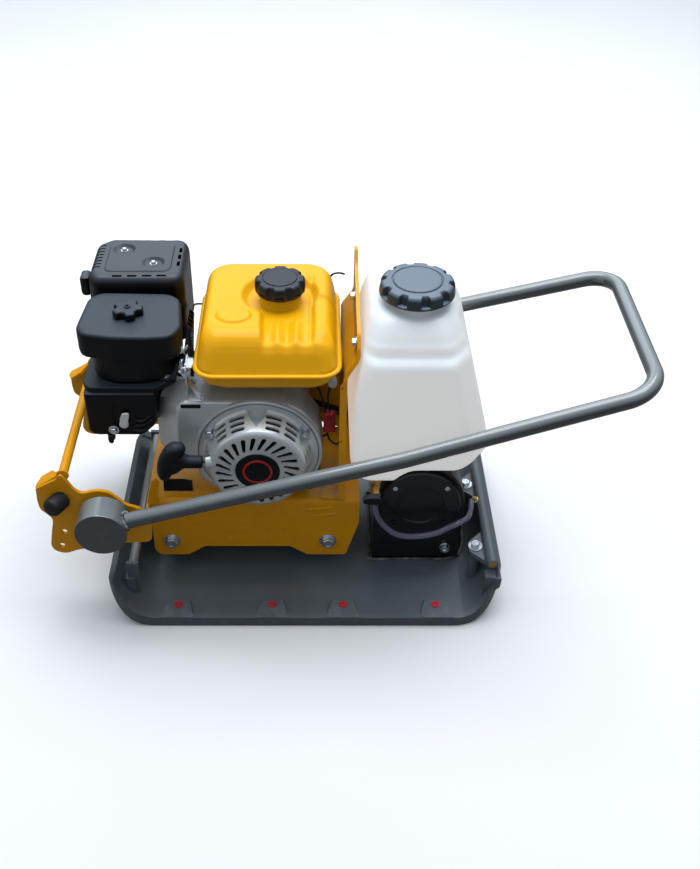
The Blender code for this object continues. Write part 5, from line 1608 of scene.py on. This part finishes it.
cut = [cylinder("z", (SPRAY_LUG_X, y), 5.2, 60, 100, 24) for y in SPRAY_LUG_Y]
cut.append(disc("y", SPRAY_BAR, 7.4, -179.5, -172, 36))
cut += [cylinder("x", (y, 88), 1.2, 305, 316, 10) for y in range(-160, 160, 16)]
add = [lathe("y", SPRAY_BAR, [(0, -178), (8.6, -178), (9.5, -177), (9.5, 159), (8.6, 160),
                              (0, 160)], 48)]
for y in SPRAY_LUG_Y:
    # three-cornered lug under each bolt, its top rising to the front
    lug = round_corners([(304, y + 44), (304, y - 42), (293, y - 34), (271, y - 12),
                         (268.5, y + 8), (276, y + 17)], [3, 3, 6, 9, 9, 9], 6)
    add.append(loft([level("z", lug, 76.2), [(a, b, 84.4 + (a - 268) * 0.05) for a, b in lug]]))
piece("spray_bar_tube", ANTHRACITE, add, cut=cut, replaces=["spray_bar"], bevel=0.8, sharp=40)
loose("spray_end_plug", BRASS,
      [lathe("y", SPRAY_BAR, [(0, -177.4), (2.2, -177.4), (2.4, -175.6), (4.6, -175.6),
                              (4.9, -177.2), (6.9, -177.2), (7.2, -176.6), (7.2, -172.4),
                              (0, -172.4)], 36)])
loose("spray_bar_bolts", ZINC,
      [hex_bolt((SPRAY_LUG_X, y, 85.1), (-0.05, 0, 1), 8.0, 6.4, 12.0, 1.8,
                start=0.2 + 0.01 * abs(y)) for y in SPRAY_LUG_Y])

# =============================================================================
# wiring by the switch
# =============================================================================
piece("wire_connector", RED,
      [round_box(26, 45, -70, -58, [(282, 1.2), (283, 0), (319, 0), (320.5, 1.2)], 2.5, 4)],
      bevel=0.4)
piece("wire_connector_catch", DARK_RED,
      [box(31, 40, -72.2, -69.5, 296, 310), box(29, 42, -71, -69.5, 312, 316)], bevel=0.5)
# wire radius, points
WIRES = (
    (1.7, [(30, -64, 320), (24, -58, 340), (18, -44, 352), (8, -34, 354)]),
    (1.5, [(36, -64, 320.5), (33, -57, 346), (38, -50, 366), (44, -40, 384), (36, -30, 398)]),
    (1.5, [(40, -64, 319), (52, -66, 316), (57.5, -68, 296), (56, -68, 272), (48, -66, 256),
           (36, -62, 262), (31, -60, 281)]),
    (1.7, [(33, -62, 282), (30, -50, 262), (22, -40, 250), (12, -36, 246)]))
loose("engine_wires", WIRE, [tube(spline(pts, 8), r, 12, round_end=1.2) for r, pts in WIRES],
      sharp=80)
CABLES = ([(30, 118, 430), (38, 113, 462), (50, 110, 470), (60.2, 110, 468)],
          [(-172, -60, 410), (-178, -20, 440), (-184, 60, 430), (-176, 128, 400),
           (-80, 142, 372), (20, 138, 400), (30, 118, 430)])
loose("throttle_cable", WIRE, [tube(spline(pts, 10), 1.6, 12, round_end=1.0) for pts in CABLES],
      sharp=80)
piece("stop_switch", WHITE_LEVER,
      [lathe("y", (40, 372), [(0, -62), (6.5, -62), (7, -61), (7, -48), (5, -46), (0, -46)], 36)])


# =============================================================================
# stage: floor, lights, world, camera (metres)
# =============================================================================
def floor_material():
    """Near-white to the camera, dark grey in what it throws back."""
    material = surface("m_floor", None, (0.84, 0.845, 0.85), rough=0.75, bump=0.02, bump_scale=60,
                       vary=0.01, vary_scale=2.0)
    nodes, links = material.node_tree.nodes, material.node_tree.links
    base = nodes["Principled BSDF"].inputs["Base Color"]
    seen = base.links[0].from_socket
    rays = nodes.new("ShaderNodeLightPath")
    mix = nodes.new("ShaderNodeMix")
    mix.data_type = "RGBA"
    rgba_socket(mix.inputs, "A").default_value = (0.19, 0.185, 0.18, 1)
    links.new(seen, rgba_socket(mix.inputs, "B"))
    links.new(rays.outputs["Is Camera Ray"], mix.inputs["Factor"])
    links.new(rgba_socket(mix.outputs), base)
    return material


bpy.ops.mesh.primitive_plane_add(size=60, location=(0, 0, -0.0008))
floor = bpy.context.object
floor.name = "floor"
floor.data.materials.append(floor_material())


def area_light(name, location, degrees, size, size_y, power, color):
    light = bpy.data.lights.new(name, "AREA")
    light.energy = power
    light.color = color
    light.shape = "RECTANGLE"
    light.size = size
    light.size_y = size_y
    obj = bpy.data.objects.new(name, light)
    COLLECTION.objects.link(obj)
    obj.location = location
    obj.rotation_euler = [math.radians(a) for a in degrees]


area_light("sky_main", location=(0.1, 0.9, 3.4), degrees=(-14, 0, 0), size=3.4, size_y=2.6,
           power=118, color=(0.95, 0.98, 1.0))
area_light("sky_rear", location=(-0.2, 3.4, 2.2), degrees=(-62, 0, 0), size=3.5, size_y=1.8,
           power=26, color=(0.88, 0.94, 1.0))
area_light("fill_left", location=(-3.2, -0.9, 1.4), degrees=(0, -70, 0), size=2.0, size_y=2.0,
           power=7, color=(0.97, 0.98, 1.0))

# world: brighter and bluer towards the zenith
world = bpy.data.worlds.new("world")
SCENE.world = world
world.use_nodes = True
nodes, links = world.node_tree.nodes, world.node_tree.links
background = nodes["Background"]
coords = nodes.new("ShaderNodeTexCoord")
separate = nodes.new("ShaderNodeSeparateXYZ")
sky = nodes.new("ShaderNodeValToRGB")
links.new(coords.outputs["Generated"], separate.inputs[0])
links.new(separate.outputs["Z"], sky.inputs["Fac"])
stops = sky.color_ramp.elements
stops[0].position = 0.0
stops[0].color = (0.10, 0.10, 0.105, 1)
stops[1].position = 1.0
stops[1].color = (0.95, 1.0, 1.08, 1)
for position, color in ((0.18, (0.16, 0.165, 0.175, 1)), (0.55, (0.62, 0.69, 0.78, 1))):
    stops.new(position).color = color
links.new(sky.outputs["Color"], background.inputs["Color"])
background.inputs["Strength"].default_value = 0.70

lens = bpy.data.cameras.new("camera")
camera = bpy.data.objects.new("camera", lens)
COLLECTION.objects.link(camera)
camera.location = (0.0125, -1.415, 1.368)
camera.rotation_euler = (math.radians(51), 0, 0)
lens.sensor_width = 36
lens.lens = 44.74
lens.shift_x = 0.0403
lens.clip_start = 0.05
SCENE.camera = camera
SCENE.view_settings.view_transform = "Standard"
